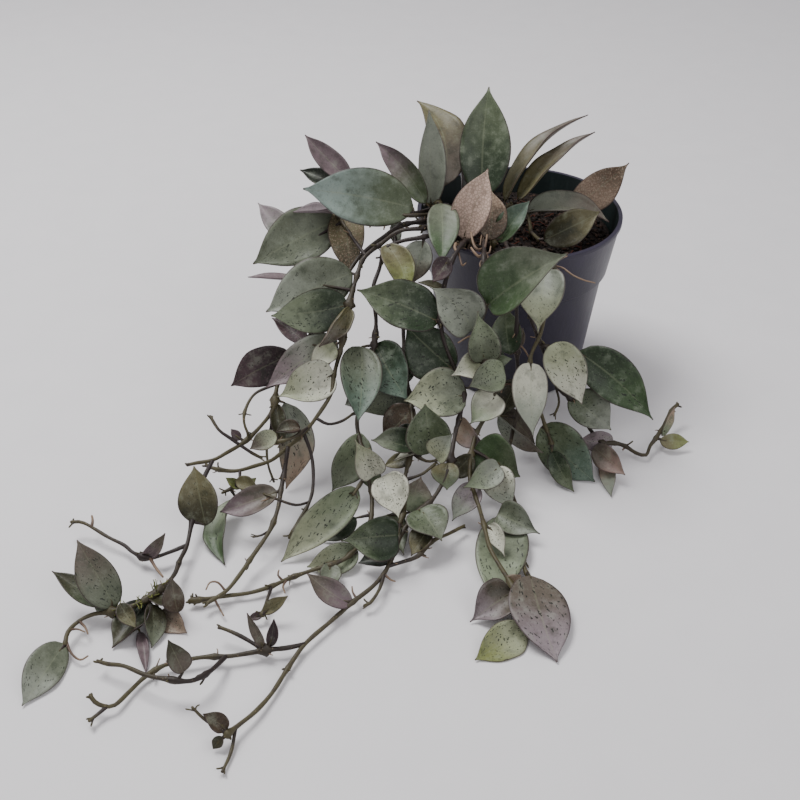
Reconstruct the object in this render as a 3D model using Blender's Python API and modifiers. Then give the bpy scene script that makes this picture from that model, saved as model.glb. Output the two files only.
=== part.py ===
"""Potted hoya lacunosa: a round nursery pot, its soil, and leafy shoots and vines.

The pot stands on the origin. Crown shoots rise from the soil, and vines run over the rim,
down the front of the pot and out over the table. Lengths in the plan are millimetres and
are turned into metres as they are used.
"""
import itertools
import math
from collections import namedtuple

import bmesh
import bpy
import numpy as np
from mathutils import Quaternion, Vector
from mathutils.bvhtree import BVHTree

MM = 0.001

# Pot, turned round +Z
RIM_RADIUS = 57.0
POT_HEIGHT = 100.0
BAND_LOW_RADIUS = 51.7
BAND_LOW_HEIGHT = 69.0
STEP_HEIGHT = 67.0
BODY_TOP_RADIUS = 49.4
BASE_RADIUS = 41.4
WALL = 1.3
LIP = 0.9
LIP_HEIGHT = 2.2
BASE_THICK = 1.6
FOOT = 0.6
DRAIN_COUNT = 6
DRAIN_RADIUS = 4.0
DRAIN_RING = 31.0
DRAIN_START = 0.37
TURN_STEPS = 32
HOLE_SIDES = 8
CUT_PAST = 1.0
POT_COLOUR = (0.045, 0.05, 0.075)
POT_ROUGH = 0.45

# Soil, with a plain hole for each stem
SOIL_TOP = 87.0
SOIL_DOME = 2.0
ROOT_DEPTH = 14.0
HOLE_ROOM = 1.12
GAP = 0.3
SOIL_COLOUR = (0.03, 0.022, 0.018)
SOIL_ROUGH = 0.95

# Outline of the pot's wall and of the soil inside it: (radius, height)
POT_PROFILE = [
    (0, BASE_THICK), (BASE_RADIUS - WALL, BASE_THICK),
    (BODY_TOP_RADIUS - WALL, STEP_HEIGHT + 1), (BAND_LOW_RADIUS - WALL, BAND_LOW_HEIGHT + 1),
    (RIM_RADIUS - WALL - LIP, POT_HEIGHT), (RIM_RADIUS, POT_HEIGHT),
    (RIM_RADIUS, POT_HEIGHT - LIP_HEIGHT), (RIM_RADIUS - LIP, POT_HEIGHT - LIP_HEIGHT),
    (BAND_LOW_RADIUS, BAND_LOW_HEIGHT), (BODY_TOP_RADIUS, STEP_HEIGHT),
    (BASE_RADIUS + FOOT, 2 * FOOT), (BASE_RADIUS - FOOT, 0), (0, 0),
]
SOIL_LOW = BASE_THICK + GAP
SOIL_EDGE = 51.75
SOIL_PROFILE = [
    (0, SOIL_TOP + SOIL_DOME), (SOIL_EDGE * 0.5, SOIL_TOP + SOIL_DOME * 0.7),
    (SOIL_EDGE * 0.85, SOIL_TOP + SOIL_DOME * 0.2), (SOIL_EDGE, SOIL_TOP - 1),
    (BAND_LOW_RADIUS - WALL - 2 * GAP, BAND_LOW_HEIGHT + 1.5),
    (BODY_TOP_RADIUS - WALL - 2 * GAP, STEP_HEIGHT + 1),
    (BASE_RADIUS - WALL - GAP, SOIL_LOW), (0, SOIL_LOW),
]

# Stems. A stem thicker than STOUT gets more sides. TIP_SHARE is how thick its tip is, as a
# share of its root. The PART numbers are for pushing stems apart.
STEM_SPACING = 17.0
STOUT = 1.28
TIP_SHARE = 0.85
STALK_RADIUS = 0.8
STALK_LEAST = 3.0
PART_ROUNDS = 80
PART_NEAR = 5.0
PART_SHARE = 0.6
CLOSEST_ROUNDS = 12
TABLE_CLEAR = 0.6

# Leaf blades. BLADE_CELLS: (blades longer than this, get this many cells). WIDEST, ROUND
# and POINTED shape the outline, and HEART adds to them. OWN numbers set leaves apart.
# MITRE numbers are for the corner between stalk and blade. TESTED numbers and CLEAR are
# for the coarse layers that find what a leaf would touch.
BLADE_THICK = 0.9
BLADE_CELLS = ((38, 5), (22, 4), (0, 3))
BLADE_END = 0.07
WIDEST = 0.84
HEART_WIDEST = 0.22
ROUND = 0.68
POINTED = 0.4
HEART_POINTED = 1.1
OWN_BOW = 12.0
OWN_TWIST = 26.0
OWN_LEAN = 0.13
MITRE_MOST = 1.6
MITRE_REACH = 0.1
TESTED_FROM = 0.06
TESTED_CELLS = 4
CLEAR = 0.55
KEPT_SHARE = 0.77
SHORTEST = 0.005
LEAF_ROUGH = 0.45

# Ways to bend a leaf clear: shift towards the eye in mm, more tilt and more turn in
# degrees, and how much of each makes one step
SHIFTS = (0, 1.5, -1.5, 3, -3, 5, -5, 8, -8, 11)
TILTS = (0, 7, -7, 14, -14, 22, -22)
TURNS = (0, 14, -14, 28, -28)
STEPS = (2, 8, 18)

# The viewpoint that the plan below is drawn from: a point of the plan is a place in an
# 800 by 800 view through this eye, and either its height or its stem settles its distance.
EYE = Vector((-0.0666, -0.5626, 0.3807))
EYE_PITCH = math.radians(36.23)
EYE_FOCAL = 1111.0
VIEW_MIDDLE = 400.0

Stem = namedtuple("Stem", "thick points root", defaults=(None,))
Leaf = namedtuple("Leaf", "base tip wide tilt turn fold arch bow heart",
                  defaults=(0, 0, 18, 14, 0, 0.2))
Spray = namedtuple("Spray", "name colour stems leaves")

# thick: stem radius at its root in mm. points: (across, down, height in mm) in the view.
# root: where the stem stands in the soil, in mm; a stem without one springs from the
# stems above it. base, tip: ends of the blade in the view. wide: blade width in mm.
# tilt: degrees by which the tip comes towards the eye. turn: degrees about the midrib.
# fold: degrees by which each half lifts. arch: degrees of bend along the midrib, and
# bow: the same sideways. heart: from 0 to 1, how heart-shaped the blade is.
SPRAYS = [
    Spray("crown_back_shoot", (0.20, 0.25, 0.20), [
        Stem(1.25, [(487, 222, 98), (485, 200, 110)], (-20, -4)),
        Stem(1.2, [(487, 222, 98), (500, 212, 103), (512, 203, 108)]),
    ], [
        Leaf((482, 197), (489, 87), 29, tilt=6, fold=14, arch=10),
        Leaf((466, 204), (460, 139), 20, tilt=-6, turn=62, fold=24),
        Leaf((505, 202), (588, 115), 17, tilt=4, turn=-66, fold=22, arch=52),
        Leaf((518, 200), (595, 132), 19, tilt=10, turn=-60, fold=22, arch=40),
    ]),
    Spray("crown_left_shoot", (0.24, 0.26, 0.22), [
        Stem(1.25, [(446, 212, 101), (438, 204, 110)], (-38, 6)),
        Stem(1.1, [(446, 212, 101), (432, 206, 107), (425, 204, 110)]),
    ], [
        Leaf((443, 186), (417, 101), 24, tilt=-20, turn=10, fold=20, arch=50, bow=44),
        Leaf((431, 206), (429, 110), 19, tilt=20, turn=6, fold=34, arch=10, bow=-12),
        Leaf((426, 203), (376, 142), 17, tilt=0, turn=-12, fold=34, arch=26, bow=40),
        Leaf((441, 204), (442, 264), 18, tilt=26, fold=14, arch=30),
    ]),
    Spray("crown_front_shoot", (0.27, 0.25, 0.20), [
        Stem(1.25, [(492, 248, 93), (494, 241, 97)], (-18, -26)),
        Stem(1.2, [(492, 248, 93), (476, 246, 96), (464, 240, 99)]),
    ], [
        Leaf((463, 239), (488, 169), 21, tilt=16, fold=14, arch=22),
        Leaf((490, 240), (491, 190), 19, tilt=2, turn=14, fold=20, arch=20),
        Leaf((499, 243), (530, 201), 15, tilt=8, turn=-14, fold=26, arch=10),
    ]),
    Spray("crown_right_shoot", (0.27, 0.27, 0.20), [
        Stem(1.25, [(531, 232, 95), (528, 214, 102)], (6, -12)),
        Stem(1.1, [(531, 232, 96), (539, 240, 97)]),
    ], [
        Leaf((527, 212), (609, 222), 19, tilt=14, turn=-48, fold=34, arch=66),
        Leaf((544, 240), (600, 212), 21, tilt=8, turn=10, fold=24, arch=6),
    ]),
    Spray("crown_far_shoot", (0.27, 0.25, 0.19), [
        Stem(1.25, [(568, 218, 95), (574, 206, 101)], (29, 4)),
    ], [
        Leaf((570, 208), (629, 163), 21, tilt=2, turn=4, fold=16, arch=10, heart=0.5),
    ]),
    Spray("left_high_vine", (0.22, 0.27, 0.23), [
        Stem(1.25, [(447, 214, 102), (424, 215, 110), (402, 215, 111), (380, 206, 110),
                    (360, 194, 109), (346, 184, 110)], (-45, -2)),
    ], [
        Leaf((413, 208), (303, 189), 31, tilt=4, turn=-4, fold=12, arch=14),
        Leaf((351, 182), (305, 135), 16, tilt=-6, turn=14, fold=30, arch=8),
        Leaf((349, 186), (300, 170), 15, tilt=-12, turn=24, fold=30, arch=8),
    ]),
    Spray("left_long_vine", (0.22, 0.26, 0.21), [
        Stem(1.3, [(447, 223, 103), (424, 228, 109), (400, 231, 109), (382, 243, 103),
                   (364, 258, 96), (357, 276, 90), (349, 305, 80), (345, 330, 71),
                   (340, 352, 62), (334, 375, 55), (331, 394, 50), (318, 415, 44),
                   (304, 433, 37), (288, 447, 31), (272, 458, 26), (255, 464, 22),
                   (235, 471, 18), (216, 469, 16), (206, 465, 15)], (-42, -12)),
        Stem(1.1, [(366, 256, 97), (354, 240, 99), (342, 222, 101), (334, 210, 104)]),
        Stem(1.25, [(288, 447, 31), (285, 468, 26), (281, 490, 21), (278, 508, 18),
                    (270, 530, 14), (252, 557, 9), (238, 578, 7), (226, 592, 6),
                    (206, 604, 5)]),
        Stem(0.9, [(316, 418, 43), (328, 424, 41), (342, 421, 40), (354, 413, 41)]),
        Stem(1.0, [(304, 433, 37), (312, 458, 28), (313, 487, 21), (308, 505, 17),
                   (299, 520, 14), (289, 538, 10)]),
        Stem(0.9, [(240, 471, 19), (238, 484, 16), (222, 493, 14)]),
        Stem(1.0, [(308, 427, 39), (294, 437, 40), (278, 442, 38), (266, 441, 36)]),
        Stem(0.8, [(311, 503, 17), (296, 505, 18), (279, 500, 20), (262, 493, 21)]),
        Stem(0.7, [(270, 530, 14), (262, 535, 12), (253, 537, 11)]),
    ], [
        Leaf((338, 220), (253, 264), 31, tilt=6, turn=8, fold=14, arch=16),
        Leaf((343, 208), (350, 276), 21, tilt=22, turn=8, fold=16, arch=22),
        Leaf((338, 213), (293, 212), 13, tilt=0, turn=70, fold=30, arch=10),
        Leaf((300, 246), (258, 203), 15, tilt=-16, turn=12, fold=16, arch=8),
        Leaf((352, 273), (266, 312), 29, tilt=8, turn=6, fold=12, arch=12),
        Leaf((304, 282), (248, 277), 12, tilt=-14, turn=74, fold=20, arch=6),
        Leaf((348, 305), (271, 316), 24, tilt=0, turn=-10, fold=14, arch=12),
        Leaf((350, 308), (319, 347), 15, tilt=18, turn=-30, fold=50, arch=14),
        Leaf((306, 343), (272, 318), 12, tilt=-18, turn=20, fold=20, arch=6),
        Leaf((336, 338), (266, 388), 21, tilt=2, turn=6, fold=16, arch=12),
        Leaf((335, 345), (310, 366), 14, tilt=20, fold=30, arch=12),
        Leaf((334, 374), (277, 397), 25, tilt=10, turn=6, fold=30, arch=20, heart=0.7),
        Leaf((300, 428), (276, 432), 12, tilt=10, turn=40, fold=40, arch=10),
        Leaf((277, 492), (220, 512), 17, tilt=6, turn=16, fold=30, arch=34),
        Leaf((236, 498), (225, 565), 17, tilt=4, turn=16, fold=28, arch=38, bow=44),
        Leaf((236, 481), (258, 488), 8, tilt=8, fold=20),
        Leaf((276, 434), (250, 449), 11, tilt=8, fold=26),
        Leaf((240, 488), (226, 478), 6, tilt=20, fold=30),
        Leaf((242, 490), (256, 478), 7, tilt=10, fold=30),
    ]),
    Spray("left_floor_vine", (0.20, 0.22, 0.17), [
        Stem(1.3, [(452, 219, 101), (424, 221, 105), (400, 226, 104), (382, 238, 99),
                   (360, 256, 92), (344, 280, 84), (326, 310, 74), (308, 338, 64), (289, 366, 54),
                   (278, 384, 49), (275, 400, 45), (271, 413, 41), (260, 427, 36),
                   (249, 438, 32), (240, 445, 30), (228, 452, 26), (213, 460, 23),
                   (196, 463, 21), (187, 465, 20)], (-38, -4)),
        Stem(0.9, [(279, 384, 49), (256, 393, 47), (246, 408, 44), (244, 422, 40),
                   (249, 436, 34)]),
        Stem(1.0, [(240, 445, 30), (230, 438, 33), (219, 430, 36), (210, 416, 40)]),
        Stem(1.0, [(240, 445, 30), (252, 453, 27), (262, 460, 24)]),
        Stem(0.8, [(272, 412, 41), (271, 428, 34), (267, 444, 27), (268, 464, 20), (274, 482, 13)]),
        Stem(1.25, [(213, 460, 23), (203, 480, 18), (196, 503, 14), (192, 521, 11),
                    (187, 545, 8), (180, 560, 8), (174, 575, 9), (160, 590, 10),
                    (145, 600, 10), (128, 608, 9), (112, 612, 7), (94, 614, 6),
                    (79, 621, 6), (68, 632, 6), (65, 645, 5)]),
        Stem(1.1, [(187, 545, 8), (170, 552, 7), (150, 558, 6), (134, 553, 6),
                   (124, 545, 6), (108, 537, 7), (84, 523, 9), (71, 522, 10)]),
    ], [
        Leaf((292, 354), (231, 386), 22, tilt=-6, turn=-10, fold=14, arch=8),
        Leaf((240, 440), (231, 429), 5, tilt=0, fold=20),
        Leaf((206, 525), (194, 466), 20, tilt=6, turn=-8, fold=14, arch=18),
        Leaf((115, 607), (77, 540), 19, tilt=8, turn=-8, fold=16, arch=14),
        Leaf((107, 605), (52, 571), 12, tilt=2, turn=22, fold=20, arch=8),
        Leaf((115, 611), (93, 594), 11, tilt=0, fold=20),
        Leaf((146, 601), (112, 648), 20, tilt=4, turn=10, fold=30, arch=-16),
        Leaf((150, 598), (182, 604), 14, tilt=10, turn=-20, fold=20, arch=14),
        Leaf((152, 604), (152, 648), 13, tilt=0, turn=-30, fold=24, arch=12),
        Leaf((140, 632), (146, 673), 6, tilt=4, fold=30),
        Leaf((160, 612), (187, 633), 12, tilt=0, turn=10, fold=16, arch=8),
        Leaf((64, 644), (22, 706), 17, tilt=4, fold=10, arch=8),
        Leaf((143, 557), (165, 533), 8, tilt=14, fold=34, arch=20, bow=30),
        Leaf((178, 612), (172, 578), 11, tilt=10, fold=24),
        Leaf((120, 604), (136, 628), 9, tilt=10, fold=30),
        Leaf((285, 403), (286, 489), 22, tilt=-2, turn=-14, fold=26, arch=14, bow=-34),
        Leaf((277, 404), (283, 446), 10, tilt=4, turn=-10, fold=30),
    ]),
    Spray("left_inner_vine", (0.23, 0.27, 0.22), [
        Stem(1.25, [(455, 230, 102), (424, 237, 107), (402, 241, 105), (386, 249, 101),
                    (379, 270, 92), (373, 290, 85), (376, 320, 71), (374, 345, 61),
                    (368, 375, 50), (360, 402, 41), (357, 424, 34), (362, 450, 28),
                    (367, 474, 22), (372, 500, 15), (368, 530, 10), (350, 555, 7),
                    (330, 565, 6), (313, 570, 5), (290, 578, 4), (272, 586, 4),
                    (250, 592, 4), (227, 595, 4), (205, 599, 4), (189, 601, 4)],
             (-42, -20)),
        Stem(0.9, [(386, 250, 101), (395, 275, 92), (402, 293, 85)]),
        Stem(1.0, [(367, 474, 22), (353, 495, 20)]),
        Stem(0.9, [(272, 586, 4), (267, 600, 5), (262, 615, 5)]),
    ], [
        Leaf((386, 245), (407, 296), 18, tilt=16, turn=-10, fold=28, arch=22, bow=-36),
        Leaf((361, 347), (358, 422), 25, tilt=12, turn=-8, fold=24, arch=20),
        Leaf((376, 344), (408, 400), 27, tilt=12, turn=10, fold=22, arch=22),
        Leaf((362, 398), (345, 405), 8, tilt=6, fold=20),
        Leaf((362, 434), (332, 491), 20, tilt=4, turn=-14, fold=16, arch=14),
        Leaf((374, 476), (355, 440), 18, tilt=26, fold=32, arch=20, heart=1),
        Leaf((358, 490), (281, 562), 22, tilt=4, turn=-10, fold=28, arch=26),
        Leaf((356, 518), (322, 541), 10, tilt=-8, fold=20),
        Leaf((358, 552), (307, 567), 17, tilt=8, turn=10, fold=26, arch=22),
        Leaf((330, 563), (327, 591), 11, tilt=20, fold=20),
        Leaf((264, 613), (288, 596), 7, tilt=10, fold=26, arch=20),
        Leaf((263, 614), (248, 619), 4, tilt=0, fold=20),
        Leaf((424, 241), (412, 284), 17, tilt=-8, turn=6, fold=16),
        Leaf((362, 455), (378, 492), 12, tilt=-12, fold=20),
    ]),
    Spray("middle_left_vine", (0.24, 0.28, 0.23), [
        Stem(1.2, [(450, 206, 100), (420, 212, 105), (398, 217, 103), (395, 236, 97),
                   (398, 262, 88), (402, 290, 78), (403, 320, 68), (404, 350, 57),
                   (407, 380, 47), (411, 405, 40), (413, 430, 34), (411, 452, 28),
                   (407, 468, 24), (404, 485, 20), (405, 505, 15), (400, 524, 12)],
             (-42, 4)),
        Stem(0.9, [(411, 452, 28), (426, 461, 27), (438, 460, 27)]),
        Stem(0.9, [(404, 480, 21), (422, 474, 23), (436, 463, 26)]),
    ], [
        Leaf((396, 244), (395, 216), 7, tilt=2, fold=24),
        Leaf((412, 392), (362, 412), 18, tilt=-6, fold=14, arch=8),
        Leaf((414, 408), (382, 438), 19, tilt=-4, turn=14, fold=20, arch=-8),
        Leaf((414, 449), (371, 440), 17, tilt=8, turn=12, fold=30, arch=18, heart=0.5),
        Leaf((427, 449), (393, 461), 8, tilt=6, turn=66, fold=16),
        Leaf((410, 458), (384, 466), 9, tilt=0, turn=20, fold=20),
        Leaf((384, 476), (399, 519), 22, tilt=22, turn=4, fold=26, arch=20, heart=0.7),
        Leaf((410, 512), (421, 477), 19, tilt=16, turn=-6, fold=20, arch=14, bow=-20, heart=0.3),
        Leaf((398, 535), (341, 541), 27, tilt=14, turn=-14, fold=32, arch=24, bow=24, heart=0.9),
        Leaf((387, 515), (404, 555), 16, tilt=34, turn=4, fold=30, arch=14, heart=0.6),
        Leaf((404, 350), (392, 392), 18, tilt=-10, fold=16),
        Leaf((412, 425), (396, 448), 12, tilt=-10, fold=20),
    ]),
    Spray("front_long_vine", (0.24, 0.28, 0.22), [
        Stem(1.3, [(468, 238, 103), (460, 247, 108), (451, 262, 105), (447, 275, 97), (443, 292, 89),
                   (440, 312, 80), (442, 332, 71), (448, 352, 62), (457, 374, 52),
                   (464, 395, 44), (460, 415, 38), (455, 435, 32), (452, 452, 28),
                   (449, 468, 24), (441, 486, 20), (431, 501, 17), (418, 512, 15),
                   (404, 530, 11), (394, 552, 9), (385, 572, 7), (372, 587, 6),
                   (353, 602, 5), (330, 622, 4), (305, 644, 4), (288, 668, 3),
                   (272, 693, 3), (256, 711, 4), (240, 724, 5), (226, 735, 6)],
             (-31, -27)),
        Stem(1.1, [(389, 566, 8), (402, 562, 7), (418, 556, 7), (431, 542, 8),
                   (448, 534, 6), (464, 526, 5)]),
        Stem(1.0, [(385, 572, 7), (379, 590, 6), (370, 603, 5), (364, 606, 4)]),
        Stem(1.2, [(305, 644, 4), (286, 648, 5), (266, 650, 5), (231, 656, 5),
                   (205, 657, 5), (186, 660, 5), (165, 665, 4), (146, 676, 3),
                   (131, 690, 3), (115, 705, 4), (104, 706, 5), (95, 702, 7),
                   (90, 695, 9)]),
        Stem(1.0, [(108, 706, 5), (98, 714, 4), (89, 721, 4)]),
        Stem(1.2, [(226, 657, 5), (209, 672, 9), (190, 681, 12), (166, 679, 12),
                   (146, 675, 11), (124, 666, 10), (108, 664, 8), (97, 661, 7)]),
        Stem(1.1, [(264, 649, 5), (246, 639, 7), (232, 632, 8), (219, 627, 9)]),
        Stem(0.9, [(236, 728, 5), (231, 752, 2), (222, 772, 2)]),
        Stem(0.8, [(228, 733, 6), (216, 727, 9), (203, 718, 13), (192, 707, 17)]),
    ], [
        Leaf((438, 322), (357, 290), 28, tilt=4, turn=10, fold=22, arch=14, heart=0.4),
        Leaf((454, 370), (406, 326), 29, tilt=4, turn=-6, fold=18, arch=16),
        Leaf((446, 290), (418, 282), 6, tilt=4, turn=50, fold=20),
        Leaf((449, 258), (433, 282), 13, tilt=-20, turn=34, fold=16, arch=-6),
        Leaf((466, 396), (404, 401), 28, tilt=8, turn=8, fold=22, arch=26, bow=20, heart=0.4),
        Leaf((430, 453), (425, 404), 26, tilt=20, turn=8, fold=24, arch=20),
        Leaf((436, 458), (453, 433), 15, tilt=34, turn=-16, fold=26, arch=16, heart=1),
        Leaf((448, 463), (447, 490), 15, tilt=24, fold=14, arch=20),
        Leaf((420, 509), (442, 541), 23, tilt=30, turn=-10, fold=20, arch=22, heart=0.4),
        Leaf((427, 531), (411, 556), 14, tilt=20, turn=20, fold=30, arch=20, heart=0.6),
        Leaf((394, 557), (358, 563), 11, tilt=0, turn=24, fold=20),
        Leaf((351, 604), (307, 573), 14, tilt=8, turn=20, fold=26, arch=18, bow=-40),
        Leaf((264, 648), (247, 613), 5, tilt=20, fold=30),
        Leaf((270, 646), (274, 619), 6, tilt=12, fold=30),
        Leaf((183, 672), (168, 640), 11, tilt=22, fold=26, arch=16),
        Leaf((227, 729), (203, 714), 9, tilt=16, fold=30, arch=12),
        Leaf((222, 737), (213, 749), 5, tilt=0, fold=20),
    ]),
    Spray("front_middle_vine", (0.24, 0.28, 0.22), [
        Stem(1.3, [(485, 241, 103), (484, 251, 107), (484, 265, 105), (486, 285, 93), (486, 305, 84),
                   (480, 330, 72), (484, 360, 58), (494, 385, 47), (490, 408, 38),
                   (477, 432, 30), (471, 455, 24), (470, 478, 18), (474, 492, 15),
                   (479, 507, 13), (484, 525, 13), (490, 548, 12), (500, 566, 11),
                   (510, 582, 9), (515, 594, 8), (517, 606, 7)], (-18, -34)),
        Stem(1.0, [(471, 450, 25), (484, 456, 24), (498, 466, 22)]),
    ], [
        Leaf((488, 305), (568, 254), 36, tilt=8, turn=-20, fold=32, arch=20, heart=0.5),
        Leaf((472, 330), (430, 287), 27, tilt=12, turn=-8, fold=24, arch=28, bow=56, heart=0.8),
        Leaf((485, 361), (478, 311), 21, tilt=24, turn=12, fold=32, arch=14, bow=-26, heart=1),
        Leaf((484, 359), (451, 376), 18, tilt=16, fold=26, arch=18, heart=0.8),
        Leaf((487, 362), (512, 359), 8, tilt=6, turn=20, fold=20),
        Leaf((504, 370), (469, 387), 20, tilt=12, turn=-14, fold=26, arch=14, heart=0.3),
        Leaf((497, 395), (470, 424), 20, tilt=18, turn=8, fold=26, arch=16, heart=0.6),
        Leaf((460, 420), (492, 449), 14, tilt=18, turn=20, fold=34, arch=20, bow=34, heart=1),
        Leaf((472, 453), (520, 477), 30, tilt=10, turn=-6, fold=18, arch=20, bow=-26, heart=0.2),
        Leaf((500, 467), (463, 488), 17, tilt=18, fold=30, arch=24, heart=0.8),
        Leaf((490, 470), (514, 511), 19, tilt=22, turn=-8, fold=26, arch=16, heart=0.8),
        Leaf((474, 484), (452, 521), 16, tilt=10, turn=12, fold=28, arch=14, heart=0.6),
        Leaf((489, 525), (505, 557), 11, tilt=24, fold=34, arch=16, heart=1),
        Leaf((512, 592), (470, 622), 23, tilt=10, turn=8, fold=34, arch=16, heart=0.9),
        Leaf((516, 590), (529, 626), 8, tilt=14, turn=50, fold=20),
        Leaf((508, 590), (481, 613), 9, tilt=20, turn=-24, fold=24),
        Leaf((508, 586), (521, 575), 9, tilt=18, fold=20),
        Leaf((524, 628), (475, 660), 19, tilt=0, fold=14, arch=8),
        Leaf((484, 345), (505, 372), 13, tilt=-10, fold=20),
        Leaf((472, 455), (448, 478), 12, tilt=-8, fold=20),
    ]),
    Spray("front_right_vine", (0.24, 0.28, 0.23), [
        Stem(1.25, [(506, 243, 103), (510, 254, 107), (514, 272, 102), (516, 292, 90), (517, 330, 68),
                    (517, 352, 56), (518, 380, 42), (519, 404, 31), (513, 430, 22),
                    (509, 452, 17), (510, 474, 12), (512, 492, 9), (518, 512, 6),
                    (524, 540, 4), (524, 566, 3), (531, 580, 3)], (-2, -34)),
    ], [
        Leaf((510, 354), (506, 307), 18, tilt=8, turn=-10, fold=18, arch=14),
        Leaf((520, 347), (523, 328), 4, tilt=4, fold=20),
        Leaf((498, 416), (543, 453), 16, tilt=8, turn=58, fold=24, arch=12),
        Leaf((502, 406), (535, 444), 13, tilt=0, turn=20, fold=18, arch=8),
        Leaf((508, 516), (492, 603), 26, tilt=-4, fold=9, arch=6),
        Leaf((498, 514), (540, 534), 20, tilt=16, turn=16, fold=34, arch=20, heart=0.9),
        Leaf((530, 576), (557, 662), 30, tilt=2, fold=8, arch=6),
        Leaf((518, 380), (500, 418), 15, tilt=-4, fold=20),
    ]),
    Spray("right_vine", (0.25, 0.28, 0.23), [
        Stem(1.2, [(544, 252, 102), (554, 266, 103), (552, 288, 90), (545, 312, 78),
                   (540, 333, 67), (533, 350, 59), (530, 362, 55), (533, 385, 42),
                   (540, 410, 30), (546, 428, 22), (552, 444, 16)], (14, -34)),
    ], [
        Leaf((546, 270), (538, 333), 29, tilt=16, turn=6, fold=26, arch=16, heart=0.9),
        Leaf((531, 363), (533, 437), 21, tilt=18, turn=-6, fold=24, arch=18, heart=0.5),
        Leaf((541, 427), (595, 482), 28, tilt=4, turn=6, fold=12, arch=16),
        Leaf((552, 452), (574, 492), 12, tilt=-4, turn=14, fold=20),
    ]),
    Spray("right_low_vine", (0.24, 0.27, 0.21), [
        Stem(1.25, [(528, 251, 102), (533, 262, 104), (530, 290, 91), (531, 315, 78),
                    (538, 336, 64), (546, 358, 51), (555, 384, 38), (570, 398, 30),
                    (582, 416, 20), (592, 432, 12), (602, 443, 8), (614, 443, 7),
                    (625, 446, 6), (636, 453, 4), (646, 455, 4), (650, 446, 5),
                    (656, 438, 7), (664, 425, 9), (671, 411, 12), (678, 404, 14)],
             (4, -30)),
        Stem(1.2, [(541, 345, 59), (556, 350, 56), (576, 356, 52)]),
        Stem(0.8, [(555, 384, 38), (559, 402, 30), (554, 416, 25)]),
    ], [
        Leaf((555, 343), (582, 404), 24, tilt=18, turn=-6, fold=24, arch=20),
        Leaf((578, 352), (653, 420), 26, tilt=0, turn=8, fold=16, arch=12, bow=-14, heart=0.5),
        Leaf((550, 348), (567, 394), 8, tilt=4, turn=56, fold=20),
        Leaf((570, 396), (611, 430), 22, tilt=0, turn=-8, fold=16, arch=10),
        Leaf((613, 441), (579, 440), 14, tilt=12, fold=20),
        Leaf((594, 447), (625, 475), 14, tilt=10, turn=12, fold=22, arch=12),
        Leaf((603, 462), (611, 497), 9, tilt=-4, fold=16),
        Leaf((660, 441), (689, 442), 9, tilt=0, fold=12),
        Leaf((662, 436), (675, 407), 5, tilt=6, turn=30, fold=24),
    ]),
]


def sight(across, down, height):
    """World point at this height on the line of sight through a place in the view."""
    toward = sight_line(across, down)
    return EYE + toward * ((height * MM - EYE.z) / toward.z)


def sight_line(across, down):
    """Line of sight, one unit long along the view's axis."""
    right = (across - VIEW_MIDDLE) / EYE_FOCAL
    up = (VIEW_MIDDLE - down) / EYE_FOCAL
    cosine, sine = math.cos(EYE_PITCH), math.sin(EYE_PITCH)
    return Vector((right, cosine + up * sine, up * cosine - sine))


def smooth_path(points, spacing):
    """Points about one spacing apart along a smooth curve through the given points."""
    ends = [points[0] * 2 - points[1]] + points + [points[-1] * 2 - points[-2]]
    path = [points[0].copy()]
    for before, start, stop, after in zip(ends, ends[1:], ends[2:], ends[3:]):
        pieces = max(1, round((stop - start).length / spacing))
        for piece in range(1, pieces + 1):
            t = piece / pieces
            path.append(0.5 * (
                2 * start + (stop - before) * t
                + (2 * before - 5 * start + 4 * stop - after) * t ** 2
                + (3 * start - before - 3 * stop + after) * t ** 3))
    return path


def nearest_on(path, point):
    """Nearest point of a path of straight runs."""
    best = path[0]
    for start, stop in zip(path, path[1:]):
        run = stop - start
        share = max(0.0, min(1.0, (point - start).dot(run) / run.length_squared))
        spot = start + run * share
        if (spot - point).length < (best - point).length:
            best = spot
    return best


def stem_paths(spray):
    """Centre lines of a spray's stems with the radius at each point."""
    stems = []
    for stem in spray.stems:
        points = [sight(*place) for place in stem.points]
        if stem.root is not None:
            foot = Vector((stem.root[0] * MM, stem.root[1] * MM, (SOIL_TOP - ROOT_DEPTH) * MM))
            neck = foot + Vector((0, 0, (ROOT_DEPTH + SOIL_DOME) * MM))
            path = [foot] + smooth_path([neck] + points, STEM_SPACING * MM)
        else:
            path = smooth_path(points, STEM_SPACING * MM)
        last = len(path) - 1
        radii = [stem.thick * MM * (1 - (1 - TIP_SHARE) * i / last) for i in range(last + 1)]
        stems.append((path, radii))
    settle(stems, spray)
    return stems


def settle(stems, spray):
    """Keep stems above the table and start each branch on the middle of its parent."""
    for number, (path, radii) in enumerate(stems):
        for point, radius in zip(path, radii):
            point.z = max(point.z, radius + TABLE_CLEAR * MM)
        if spray.stems[number].root is None:
            starts = [nearest_on(parent, path[0]) for parent, _ in stems[:number]]
            path[0] = min(starts, key=lambda spot: (spot - path[0]).length)


def closest(one, two):
    """Nearest points of two straight runs, found by going back and forth between them."""
    here = (one[0] + one[1]) / 2
    for _ in range(CLOSEST_ROUNDS):
        there = nearest_on(two, here)
        here = nearest_on(one, there)
    return here, there


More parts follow.
